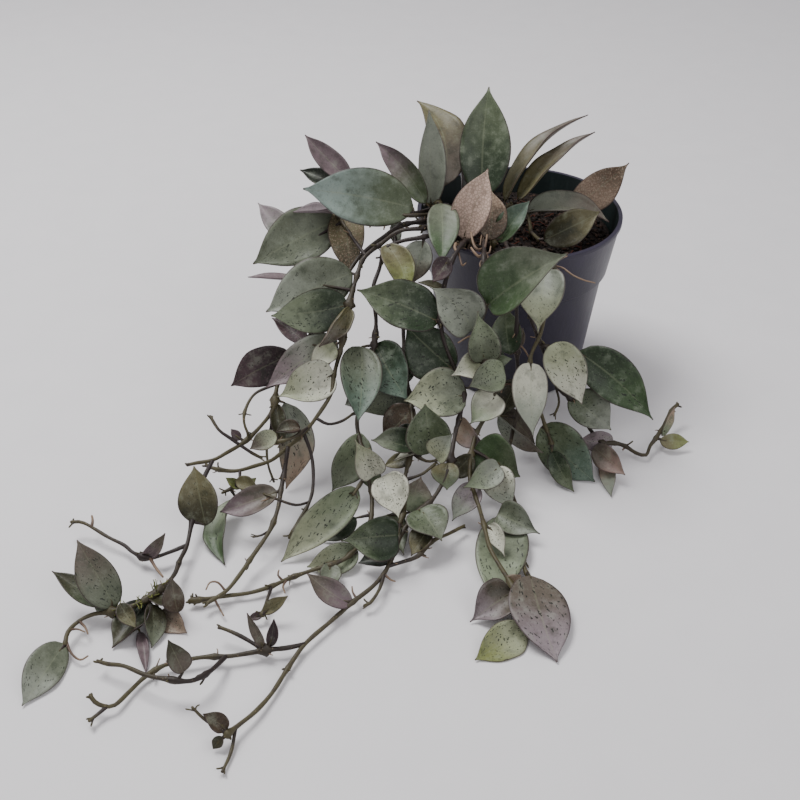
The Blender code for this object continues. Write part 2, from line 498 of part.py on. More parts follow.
def part_stems(stems):
    """Push the stems of different sprays apart wherever they would touch."""
    runs = [(number, path, radii, i)
            for number, spray in enumerate(SPRAYS) for path, radii in stems[spray.name]
            for i in range(len(path) - 1)]
    owner = np.array([run[0] for run in runs])
    for _ in range(PART_ROUNDS):
        middles = np.array([(path[i] + path[i + 1]) / 2 for _, path, _, i in runs])
        reach = np.array([(path[i + 1] - path[i]).length / 2 for _, path, _, i in runs])
        apart = np.linalg.norm(middles[:, None] - middles[None, :], axis=2)
        near = apart < reach[:, None] + reach[None, :] + PART_NEAR * MM
        near &= owner[:, None] < owner[None, :]
        moved = False
        for m, n in np.argwhere(near):
            _, one, one_radii, i = runs[m]
            _, two, two_radii, j = runs[n]
            here, there = closest(one[i:i + 2], two[j:j + 2])
            away = here - there
            short = one_radii[i] + two_radii[j] + 2 * GAP * MM - away.length
            if short > 0:
                moved = True
                if away.length < 1e-7:
                    away = EYE - here
                push = away.normalized() * (short * PART_SHARE)
                for path, k, step in ((one, i, push), (two, j, -push)):
                    path[k + 1] += step
                    if k > 1:
                        path[k] += step
        for spray in SPRAYS:
            settle(stems[spray.name], spray)
        if not moved:
            return


def in_soil(spot):
    """Whether a point is in the soil or too close above it to bear a leaf."""
    near = (SOIL_TOP + SOIL_DOME + STALK_LEAST) * MM
    return spot.z < near and spot.xy.length < SOIL_EDGE * MM


class Blade:
    """One leaf placed in the world: its frame, its petiole and the form of its blade."""

    def __init__(self, leaf, stems, shift=0.0, more_tilt=0.0, more_turn=0.0):
        base_line = sight_line(*leaf.base)
        tip_line = sight_line(*leaf.tip)
        spots = []
        for path, _ in stems:
            for start, stop in zip(path, path[1:]):
                for share in (0.0, 0.5, 1.0):
                    spot = start.lerp(stop, share)
                    if in_soil(spot):
                        continue
                    along = (spot - EYE).dot(base_line) / base_line.length_squared
                    spots.append(((EYE + base_line * along - spot).length, along, spot))
        _, along, self.joint = min(spots, key=lambda entry: entry[0])
        along = min(along - shift * MM, self.on_table(base_line))
        self.base = EYE + base_line * along
        flat = (Vector(leaf.tip) - Vector(leaf.base)).length / EYE_FOCAL * along
        tilt = math.radians(leaf.tilt + more_tilt)
        self.tip = EYE + tip_line * min(along - flat * math.tan(tilt), self.on_table(tip_line))
        self.run = self.tip - self.base
        self.length = self.run.length
        self.run.normalize()
        to_eye = (EYE - self.base).normalized()
        face = (to_eye - self.run * to_eye.dot(self.run)).normalized()
        side = self.run.cross(face)
        turn = math.radians(leaf.turn + more_turn)
        self.up = face * math.cos(turn) + side * math.sin(turn)
        self.side = self.run.cross(self.up)
        self.half_width = leaf.wide / 2 * MM
        self.fold = math.radians(leaf.fold)
        self.arch = math.radians(leaf.arch)
        self.bow = math.radians(leaf.bow + OWN_BOW * self.own(leaf, 1))
        self.twist = math.radians(OWN_TWIST * self.own(leaf, 2))
        self.lean = OWN_LEAN * self.own(leaf, 3)
        self.widest = WIDEST - HEART_WIDEST * leaf.heart
        self.pointed = POINTED + HEART_POINTED * leaf.heart

    @staticmethod
    def own(leaf, number):
        """Number from -1 to 1 that sets a leaf apart from the others."""
        return math.sin(leaf.base[0] * 12.9 + leaf.tip[1] * (3.7 + number))

    @staticmethod
    def on_table(line):
        """How far along a line of sight the table is, less the room that a leaf needs."""
        return (TABLE_CLEAR * 2 * MM - EYE.z) / line.z

    def midrib(self, s):
        """Point of the arched and bowed midrib at a share s of its length."""
        radius = self.length / (2 * math.sin(self.arch / 2))
        angle = self.arch * (s - 0.5)
        forward = self.length / 2 + radius * math.sin(angle)
        rise = radius * (math.cos(angle) - math.cos(self.arch / 2))
        aside = self.length * math.tan(self.bow / 4) * 2 * s * (1 - s)
        return self.base + self.run * forward + self.up * rise + self.side * aside

    def point(self, s, u):
        """Point of the blade at s along its length and u from edge (-1) to edge (1)."""
        outline = BLADE_END
        if 0 < s < 1:
            power = ROUND + self.pointed * s ** 3
            outline = max(outline, math.sin(math.pi * s ** self.widest) ** power)
        reach = self.half_width * outline * (1 + math.copysign(self.lean, u))
        bend = 2 * self.fold * abs(u)
        across = reach * math.copysign(math.sin(bend), u) / (2 * self.fold)
        rise = reach * (1 - math.cos(bend)) / (2 * self.fold)
        angle = self.twist * (s - 0.5)
        side = self.side * math.cos(angle) + self.up * math.sin(angle)
        up = self.up * math.cos(angle) - self.side * math.sin(angle)
        angle = self.arch * (s - 0.5)
        lift = up * math.cos(angle) + self.run * math.sin(angle)
        spot = self.midrib(s) + side * across + lift * rise
        spot.z = max(spot.z, TABLE_CLEAR * MM)
        return spot

    def stalk(self):
        """Bends of the leaf stalk, from the stem's middle to the blade, and where it ends."""
        far = (self.base - self.joint).length
        if far < STALK_LEAST * MM:
            share = STALK_LEAST * MM / self.length
            return [self.joint, self.midrib(share)], share
        return [self.joint, self.base], 0.0

    def sections(self):
        """Rows of three points with half the thickness there, from the stem to the tip."""
        path, share = self.stalk()
        cells = next(count for least, count in BLADE_CELLS if self.length > least * MM)
        rows = []
        for i in range(1, cells + 1):
            s = share + (1 - share) * i / cells
            rows.append(([self.point(s, u) for u in (-1, 0, 1)], self.up * (BLADE_THICK / 2 * MM)))
        ahead = (self.midrib(share + MITRE_REACH) - path[-1]).normalized()
        side, through = self.side, self.up
        for i in range(len(path) - 1, 0, -1):
            toward = (path[i] - path[i - 1]).normalized()
            bend = ahead.rotation_difference(toward)
            half_bend = Quaternion().slerp(bend, 0.5)
            thick = STALK_RADIUS * MM / max(1 / MITRE_MOST, math.cos(bend.angle / 2))
            wide = half_bend @ side * (STALK_RADIUS * MM)
            rows.insert(0, ([path[i] - wide, path[i], path[i] + wide], half_bend @ through * thick))
            ahead, side, through = toward, bend @ side, bend @ through
        wide = side * (STALK_RADIUS * MM)
        rows.insert(0, ([path[0] - wide, path[0], path[0] + wide], through * (STALK_RADIUS * MM)))
        return rows

    def sheets(self):
        """Two coarse layers, a little outside the blade's faces, to test what it crosses."""
        shares = np.linspace(TESTED_FROM, 1, TESTED_CELLS + 1).tolist()
        rows = [[self.point(s, u) for u in (-1, 0, 1)] for s in shares]
        corners, faces = [], []
        for sign in (1, -1):
            offset = self.up * (sign * (BLADE_THICK / 2 + CLEAR) * MM)
            first = len(corners)
            corners += [spot + offset for row in rows for spot in row]
            for i in range(TESTED_CELLS):
                for j in range(2):
                    at = first + 3 * i + j
                    faces += [(at, at + 1, at + 4), (at, at + 4, at + 3)]
        return corners, faces


def tube_faces(path, radii, more):
    """Open six-sided tube round a path, wider than it by `more`, for the same tests."""
    corners, faces = [], []
    for i, (point, radius) in enumerate(zip(path, radii)):
        ahead = path[min(i + 1, len(path) - 1)] - path[max(i - 1, 0)]
        across = ahead.orthogonal().normalized()
        upward = ahead.cross(across).normalized()
        for k in range(6):
            angle = math.tau * k / 6
            corners.append(point + (across * math.cos(angle) + upward * math.sin(angle))
                           * (radius + more * MM))
    for i in range(len(path) - 1):
        for k in range(6):
            a, b = 6 * i + k, 6 * i + (k + 1) % 6
            faces += [(a, b, b + 6), (a, b + 6, a + 6)]
    return corners, faces


def tree_of(corners, faces):
    return BVHTree.FromPolygons([tuple(spot) for spot in corners], faces)


def moves():
    """Ways to bend a leaf clear, the smallest first."""
    tries = itertools.product(SHIFTS, TILTS, TURNS)
    return sorted(tries, key=lambda move: sum(abs(by) / step for by, step in zip(move, STEPS)))


def turned_faces(profile):
    """Surface turned round +Z from a profile in mm, for the same tests."""
    corners, faces = [], []
    for k in range(TURN_STEPS):
        angle = math.tau * k / TURN_STEPS
        corners += [(x * MM * math.cos(angle), x * MM * math.sin(angle), z * MM)
                    for x, z in profile]
    count = len(profile)
    for k in range(TURN_STEPS):
        for i in range(count - 1):
            a = k * count + i
            b = (k + 1) % TURN_STEPS * count + i
            faces += [(a, b, b + 1), (a, b + 1, a + 1)]
    return corners, faces


def crossings(name, sheet, stalk, solid, placed):
    """How many other things a leaf's blade and stalk would touch or nearly touch."""
    foreign = [tree for owner, tree in solid if owner != name]
    foreign += [tree for owner, *trees in placed if owner != name for tree in trees]
    own_blades = [blade for owner, blade, _ in placed if owner == name]
    count = sum(bool(sheet.overlap(tree)) for tree in foreign + own_blades)
    return count + sum(bool(stalk.overlap(tree)) for tree in foreign)


def place_leaves():
    """Bend each leaf clear of the pot, the soil, the stems and the leaves nearer the eye."""
    stems = {spray.name: stem_paths(spray) for spray in SPRAYS}
    part_stems(stems)
    solid = [("pot", tree_of(*turned_faces(POT_PROFILE))),
             ("soil", tree_of(*turned_faces(SOIL_PROFILE)))]
    for name, paths in stems.items():
        solid += [(name, tree_of(*tube_faces(path, radii, CLEAR))) for path, radii in paths]
    waiting = []
    for spray in SPRAYS:
        for number, leaf in enumerate(spray.leaves):
            first = Blade(leaf, stems[spray.name])
            waiting.append(((first.midrib(0.5) - EYE).length, spray.name, number, leaf))
    placed = []
    blades = {spray.name: [None] * len(spray.leaves) for spray in SPRAYS}
    for _, name, number, leaf in sorted(waiting):
        fewest = math.inf
        for move in moves():
            blade = Blade(leaf, stems[name], *move)
            sheet = tree_of(*blade.sheets())
            path, _ = blade.stalk()
            stalk = tree_of(*tube_faces(path, [STALK_RADIUS * MM] * len(path), CLEAR))
            crossed = crossings(name, sheet, stalk, solid, placed)
            if crossed < fewest:
                fewest = crossed
                best = (blade, sheet, stalk)
            if crossed == 0:
                break
        if fewest:
            raise ValueError(f"the leaf at {leaf.base} of {name} touches something")
        blades[name][number] = best[0]
        placed.append((name, *best[1:]))
    return stems, blades


def clear_scene():
    for thing in list(bpy.data.objects):
        bpy.data.objects.remove(thing, do_unlink=True)


def new_collection(name):
    collection = bpy.data.collections.new(name)
    bpy.context.scene.collection.children.link(collection)
    return collection


def material(name, colour, roughness):
    made = bpy.data.materials.new(name)
    made.use_nodes = True
    shader = made.node_tree.nodes["Principled BSDF"]
    shader.inputs["Base Color"].default_value = (*colour, 1.0)
    shader.inputs["Roughness"].default_value = roughness
    return made


def turned(name, profile, collection):
    """Solid turned round +Z from a profile that ends on the axis at both ends."""
    mesh = bpy.data.meshes.new(name)
    corners = [(x * MM, 0.0, z * MM) for x, z in profile]
    mesh.from_pydata(corners, [(i, i + 1) for i in range(len(corners) - 1)], [])
    thing = bpy.data.objects.new(name, mesh)
    collection.objects.link(thing)
    screw = thing.modifiers.new("turn", "SCREW")
    screw.axis = "Z"
    screw.steps = TURN_STEPS
    screw.render_steps = TURN_STEPS
    screw.use_merge_vertices = True
    screw.merge_threshold = 0.0001
    return thing


def drill(thing, cutters, holes):
    """Cut upright round holes: (x, y, low, high, radius) in mm."""
    for number, (x, y, low, high, radius) in enumerate(holes):
        bpy.ops.mesh.primitive_cylinder_add(
            vertices=HOLE_SIDES, radius=radius * MM, depth=(high - low) * MM,
            location=(x * MM, y * MM, (low + high) / 2 * MM))
        cutter = bpy.context.active_object
        cutter.name = f"{thing.name}_hole_{number}"
        for holder in list(cutter.users_collection):
            holder.objects.unlink(cutter)
        cutters.objects.link(cutter)
        cutter.hide_render = True
        cutter.display_type = "WIRE"
        cut = thing.modifiers.new(cutter.name, "BOOLEAN")
        cut.operation = "DIFFERENCE"
        cut.object = cutter


def make_pot(collection, cutters):
    """Thin-walled pot: tapered body, a step, a flared rim band and a thin lip."""
    pot = turned("pot", POT_PROFILE, collection)
    pot.data.materials.append(material("pot_plastic", POT_COLOUR, POT_ROUGH))
    holes = []
    for number in range(DRAIN_COUNT):
        angle = math.tau * (number + DRAIN_START) / DRAIN_COUNT
        holes.append((DRAIN_RING * math.cos(angle), DRAIN_RING * math.sin(angle),
                      -CUT_PAST, BASE_THICK + CUT_PAST, DRAIN_RADIUS))
    drill(pot, cutters, holes)
    return pot


def make_soil(collection, cutters):
    """Filling of the pot up to the soil line, with a hole for each stem's foot."""
    soil = turned("soil", SOIL_PROFILE, collection)
    soil.data.materials.append(material("soil", SOIL_COLOUR, SOIL_ROUGH))
    holes = []
    for spray in SPRAYS:
        for stem in spray.stems:
            if stem.root is not None:
                holes.append((*stem.root, SOIL_TOP - ROOT_DEPTH - GAP,
                              SOIL_TOP + SOIL_DOME + CUT_PAST, stem.thick * HOLE_ROOM + GAP))
    drill(soil, cutters, holes)
    return soil


def tube(name, path, radii, collection):
    """Round stem as a bevelled curve, made a mesh with welded caps."""
    curve = bpy.data.curves.new(name, "CURVE")
    curve.dimensions = "3D"
    curve.bevel_depth = 1.0
    curve.bevel_resolution = 1 if radii[0] > STOUT * MM else 0
    curve.use_fill_caps = True
    spline = curve.splines.new("POLY")
    spline.points.add(len(path) - 1)
    for point, spot, radius in zip(spline.points, path, radii):
        point.co = (*spot, 1.0)
        point.radius = radius
    guide = bpy.data.objects.new(name, curve)
    collection.objects.link(guide)
    bpy.context.view_layer.update()
    seen = guide.evaluated_get(bpy.context.evaluated_depsgraph_get())
    mesh = bpy.data.meshes.new_from_object(seen)
    bpy.data.objects.remove(guide, do_unlink=True)
    shape = bmesh.new()
    shape.from_mesh(mesh)
    bmesh.ops.remove_doubles(shape, verts=shape.verts, dist=1e-6)
    bmesh.ops.triangulate(shape, faces=shape.faces)
    shape.to_mesh(mesh)
    shape.free()
    thing = bpy.data.objects.new(name, mesh)
    collection.objects.link(thing)
    return thing


def leaf_solid(name, blade, collection):
    """Closed stalk and blade from one long grid, alike on both faces."""
    rows = blade.sections()
    shape = bmesh.new()
    bmesh.ops.create_grid(shape, x_segments=2, y_segments=len(rows) - 1, size=1)
    halves = {}
    for vertex in shape.verts:
        points, half = rows[round((vertex.co.y + 1) / 2 * (len(rows) - 1))]
        vertex.co = points[round(vertex.co.x) + 1]
        halves[vertex] = half
    bmesh.ops.triangulate(shape, faces=shape.faces)
    rims = [edge for edge in shape.edges if edge.is_boundary]
    everything = list(shape.verts) + list(shape.edges) + list(shape.faces)
    copied = bmesh.ops.duplicate(shape, geom=everything)
    rims += [copied["edge_map"][edge] for edge in rims]
    for vertex, half in halves.items():
        copied["vert_map"][vertex].co = vertex.co + half
        vertex.co = vertex.co - half
    bmesh.ops.bridge_loops(shape, edges=rims)
    bmesh.ops.triangulate(shape, faces=shape.faces)
    bmesh.ops.recalc_face_normals(shape, faces=shape.faces)
    mesh = bpy.data.meshes.new(name)
    shape.to_mesh(mesh)
    shape.free()
    thing = bpy.data.objects.new(name, mesh)
    collection.objects.link(thing)
    return thing


def keep_largest(mesh):
    """Keep the body itself: fill the pockets that joining sealed, and drop scraps."""
    shape = bmesh.new()
    shape.from_mesh(mesh)
    left = set(shape.faces)
    shells = []
    while left:
        shell, front = set(), [left.pop()]
        while front:
            face = front.pop()
            shell.add(face)
            beside = {other for edge in face.edges for other in edge.link_faces} & left
            left -= beside
            front += beside
        shells.append(shell)
    shells.sort(key=len)
    spare = [face for shell in shells[:-1] for face in shell]
    bmesh.ops.delete(shape, geom=spare, context="FACES")
    wires = [edge for edge in shape.edges if edge.is_wire]
    bmesh.ops.delete(shape, geom=wires, context="EDGES")
    bmesh.ops.dissolve_degenerate(shape, dist=SHORTEST * MM, edges=shape.edges)
    bmesh.ops.triangulate(shape, faces=shape.faces)
    shape.to_mesh(mesh)
    shape.free()


def make_spray(spray, stems, blades, collection):
    """Join a spray's stems, leaf stalks and blades into one body."""
    pieces = new_collection(f"{spray.name}_pieces")
    (first_path, first_radii), *branches = stems
    body = tube(spray.name, first_path, first_radii, collection)
    for number, (path, radii) in enumerate(branches):
        tube(f"{spray.name}_branch_{number}", path, radii, pieces)
    for number, blade in enumerate(blades):
        leaf_solid(f"{spray.name}_leaf_{number}", blade, pieces)
    join = body.modifiers.new("join", "BOOLEAN")
    join.operation = "UNION"
    join.operand_type = "COLLECTION"
    join.collection = pieces
    join.solver = "MANIFOLD"
    lighten = body.modifiers.new("lighten", "DECIMATE")
    lighten.ratio = KEPT_SHARE
    bpy.context.view_layer.update()
    seen = body.evaluated_get(bpy.context.evaluated_depsgraph_get())
    body.modifiers.clear()
    body.data = bpy.data.meshes.new_from_object(seen)
    keep_largest(body.data)
    for thing in list(pieces.objects):
        bpy.data.objects.remove(thing, do_unlink=True)
    bpy.data.collections.remove(pieces)
    body.data.materials.clear()
    body.data.materials.append(material(f"{spray.name}_green", spray.colour, LEAF_ROUGH))
    return body


def main():
    clear_scene()
    plant = new_collection("potted_hoya_lacunosa")
    cutters = new_collection("cutters")
    make_pot(plant, cutters)
    make_soil(plant, cutters)
    stems, blades = place_leaves()
    for spray in SPRAYS:
        make_spray(spray, stems[spray.name], blades[spray.name], plant)


main()
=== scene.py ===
# %% [markdown]
# # A hoya that trails out of its pot
#
# This lesson dresses a plain solid model of a potted hoya. The solids already say how big
# each piece is and where it stands. What they lack is everything that makes the plant look
# alive: thin curved leaves with a vein and a dark edge, knotted stems with roots in the air,
# loose bark in the pot and the soft gleam of old plastic.
#
# We start by loading the solids.

import itertools
import math
from collections import namedtuple

import bmesh
import bpy
import numpy as np
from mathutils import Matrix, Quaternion, Vector
from mathutils.bvhtree import BVHTree


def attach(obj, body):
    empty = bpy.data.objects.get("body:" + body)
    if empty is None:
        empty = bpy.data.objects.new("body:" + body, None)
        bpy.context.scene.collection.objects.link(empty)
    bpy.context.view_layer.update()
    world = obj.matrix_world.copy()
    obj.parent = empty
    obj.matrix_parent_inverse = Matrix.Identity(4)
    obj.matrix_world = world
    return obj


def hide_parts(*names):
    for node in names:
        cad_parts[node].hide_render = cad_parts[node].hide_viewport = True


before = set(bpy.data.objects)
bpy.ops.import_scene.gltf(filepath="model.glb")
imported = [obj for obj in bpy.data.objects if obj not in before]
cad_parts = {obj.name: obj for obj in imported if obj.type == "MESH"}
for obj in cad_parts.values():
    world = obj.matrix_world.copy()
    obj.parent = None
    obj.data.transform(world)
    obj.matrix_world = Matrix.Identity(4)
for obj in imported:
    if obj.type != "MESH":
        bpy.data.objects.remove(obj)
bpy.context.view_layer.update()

# %% [markdown]
# Lengths below are in millimetres, as on a drawing, and Blender works in metres, so one
# factor turns the first into the second. The pot's sizes come first: its outline is turned
# round the upright axis, as a potter's wheel would do it, so a list of radius and height
# pairs is all that it needs. The soil inside has an outline of its own.

# %% Sizes of the pot and the soil
MM = 0.001
# Pot, turned round +Z
RIM_RADIUS = 57.0
POT_HEIGHT = 100.0
BAND_LOW_RADIUS = 51.7
BAND_LOW_HEIGHT = 69.0
STEP_HEIGHT = 67.0
BODY_TOP_RADIUS = 49.4
BASE_RADIUS = 41.4
WALL = 1.3
LIP = 0.9
LIP_HEIGHT = 2.2
BASE_THICK = 1.6
FOOT = 0.6
DRAIN_COUNT = 6
DRAIN_RADIUS = 4.0
DRAIN_RING = 31.0
DRAIN_START = 0.37
TURN_STEPS = 32
CUT_PAST = 1.0

# Soil, with a plain hole for each stem
SOIL_TOP = 87.0
SOIL_DOME = 2.0
ROOT_DEPTH = 14.0
GAP = 0.3

# Outline of the pot's wall and of the soil inside it: (radius, height)
POT_PROFILE = [
    (0, BASE_THICK), (BASE_RADIUS - WALL, BASE_THICK),
    (BODY_TOP_RADIUS - WALL, STEP_HEIGHT + 1), (BAND_LOW_RADIUS - WALL, BAND_LOW_HEIGHT + 1),
    (RIM_RADIUS - WALL - LIP, POT_HEIGHT), (RIM_RADIUS, POT_HEIGHT),
    (RIM_RADIUS, POT_HEIGHT - LIP_HEIGHT), (RIM_RADIUS - LIP, POT_HEIGHT - LIP_HEIGHT),
    (BAND_LOW_RADIUS, BAND_LOW_HEIGHT), (BODY_TOP_RADIUS, STEP_HEIGHT),
    (BASE_RADIUS + FOOT, 2 * FOOT), (BASE_RADIUS - FOOT, 0), (0, 0),
]
SOIL_LOW = BASE_THICK + GAP
SOIL_EDGE = 51.75
SOIL_PROFILE = [
    (0, SOIL_TOP + SOIL_DOME), (SOIL_EDGE * 0.5, SOIL_TOP + SOIL_DOME * 0.7),
    (SOIL_EDGE * 0.85, SOIL_TOP + SOIL_DOME * 0.2), (SOIL_EDGE, SOIL_TOP - 1),
    (BAND_LOW_RADIUS - WALL - 2 * GAP, BAND_LOW_HEIGHT + 1.5),
    (BODY_TOP_RADIUS - WALL - 2 * GAP, STEP_HEIGHT + 1),
    (BASE_RADIUS - WALL - GAP, SOIL_LOW), (0, SOIL_LOW),
]
print("the pot is", 2 * RIM_RADIUS, "mm across its rim and", POT_HEIGHT, "mm tall")

# %% [markdown]
# A leafy vine is easiest to describe in the view that it was seen in. So each stem is a
# row of places in that view with a height above the table, and each leaf is the place of
# its base and of its tip. The eye that the view belongs to is fixed here, because the same
# eye becomes the camera at the end.

# %% The eye and the sizes of stems and leaves
# Stems, in mm, but middles closer than TOUCHING, in metres, count as one
STEM_SPACING = 17.0
TIP_SHARE = 0.85
STALK_RADIUS = 0.8
STALK_LEAST = 3.0
PART_ROUNDS = 80
PART_NEAR = 5.0
PART_SHARE = 0.6
CLOSEST_ROUNDS = 12
TOUCHING = 1e-7
TABLE_CLEAR = 0.6

# Leaf blades, in mm and degrees. OWN_MIX turns a leaf's places into a number of its own,
# and CLEAR is the room that the tests keep round a blade.
BLADE_THICK = 0.9
BLADE_END = 0.07
WIDEST = 0.84
HEART_WIDEST = 0.22
ROUND = 0.68
POINTED = 0.4
HEART_POINTED = 1.1
OWN_BOW = 12.0
OWN_TWIST = 26.0
OWN_LEAN = 0.13
OWN_MIX = (12.9, 3.7)
TESTED_FROM = 0.06
TESTED_CELLS = 4
CLEAR = 0.55
TUBE_SIDES = 6

# Ways to bend a leaf clear: shift towards the eye in mm, more tilt and more turn in
# degrees, and how much of each makes one step
SHIFTS = (0, 1.5, -1.5, 3, -3, 5, -5, 8, -8, 11)
TILTS = (0, 7, -7, 14, -14, 22, -22)
TURNS = (0, 14, -14, 28, -28)
STEPS = (2, 8, 18)

# The viewpoint that the plan below is drawn from: a point of the plan is a place in an
# 800 by 800 view through this eye, and either its height or its stem settles its distance.
EYE = Vector((-0.0666, -0.5626, 0.3807))
EYE_PITCH = math.radians(36.23)
EYE_FOCAL = 1111.0
VIEW_MIDDLE = 400.0

Stem = namedtuple("Stem", "thick points root", defaults=(None,))
Leaf = namedtuple("Leaf", "base tip wide tilt turn fold arch bow heart",
                  defaults=(0, 0, 18, 14, 0, 0.2))
Spray = namedtuple("Spray", "name stems leaves")
print("the eye is", round(EYE.length, 2), "m from the foot of the pot")
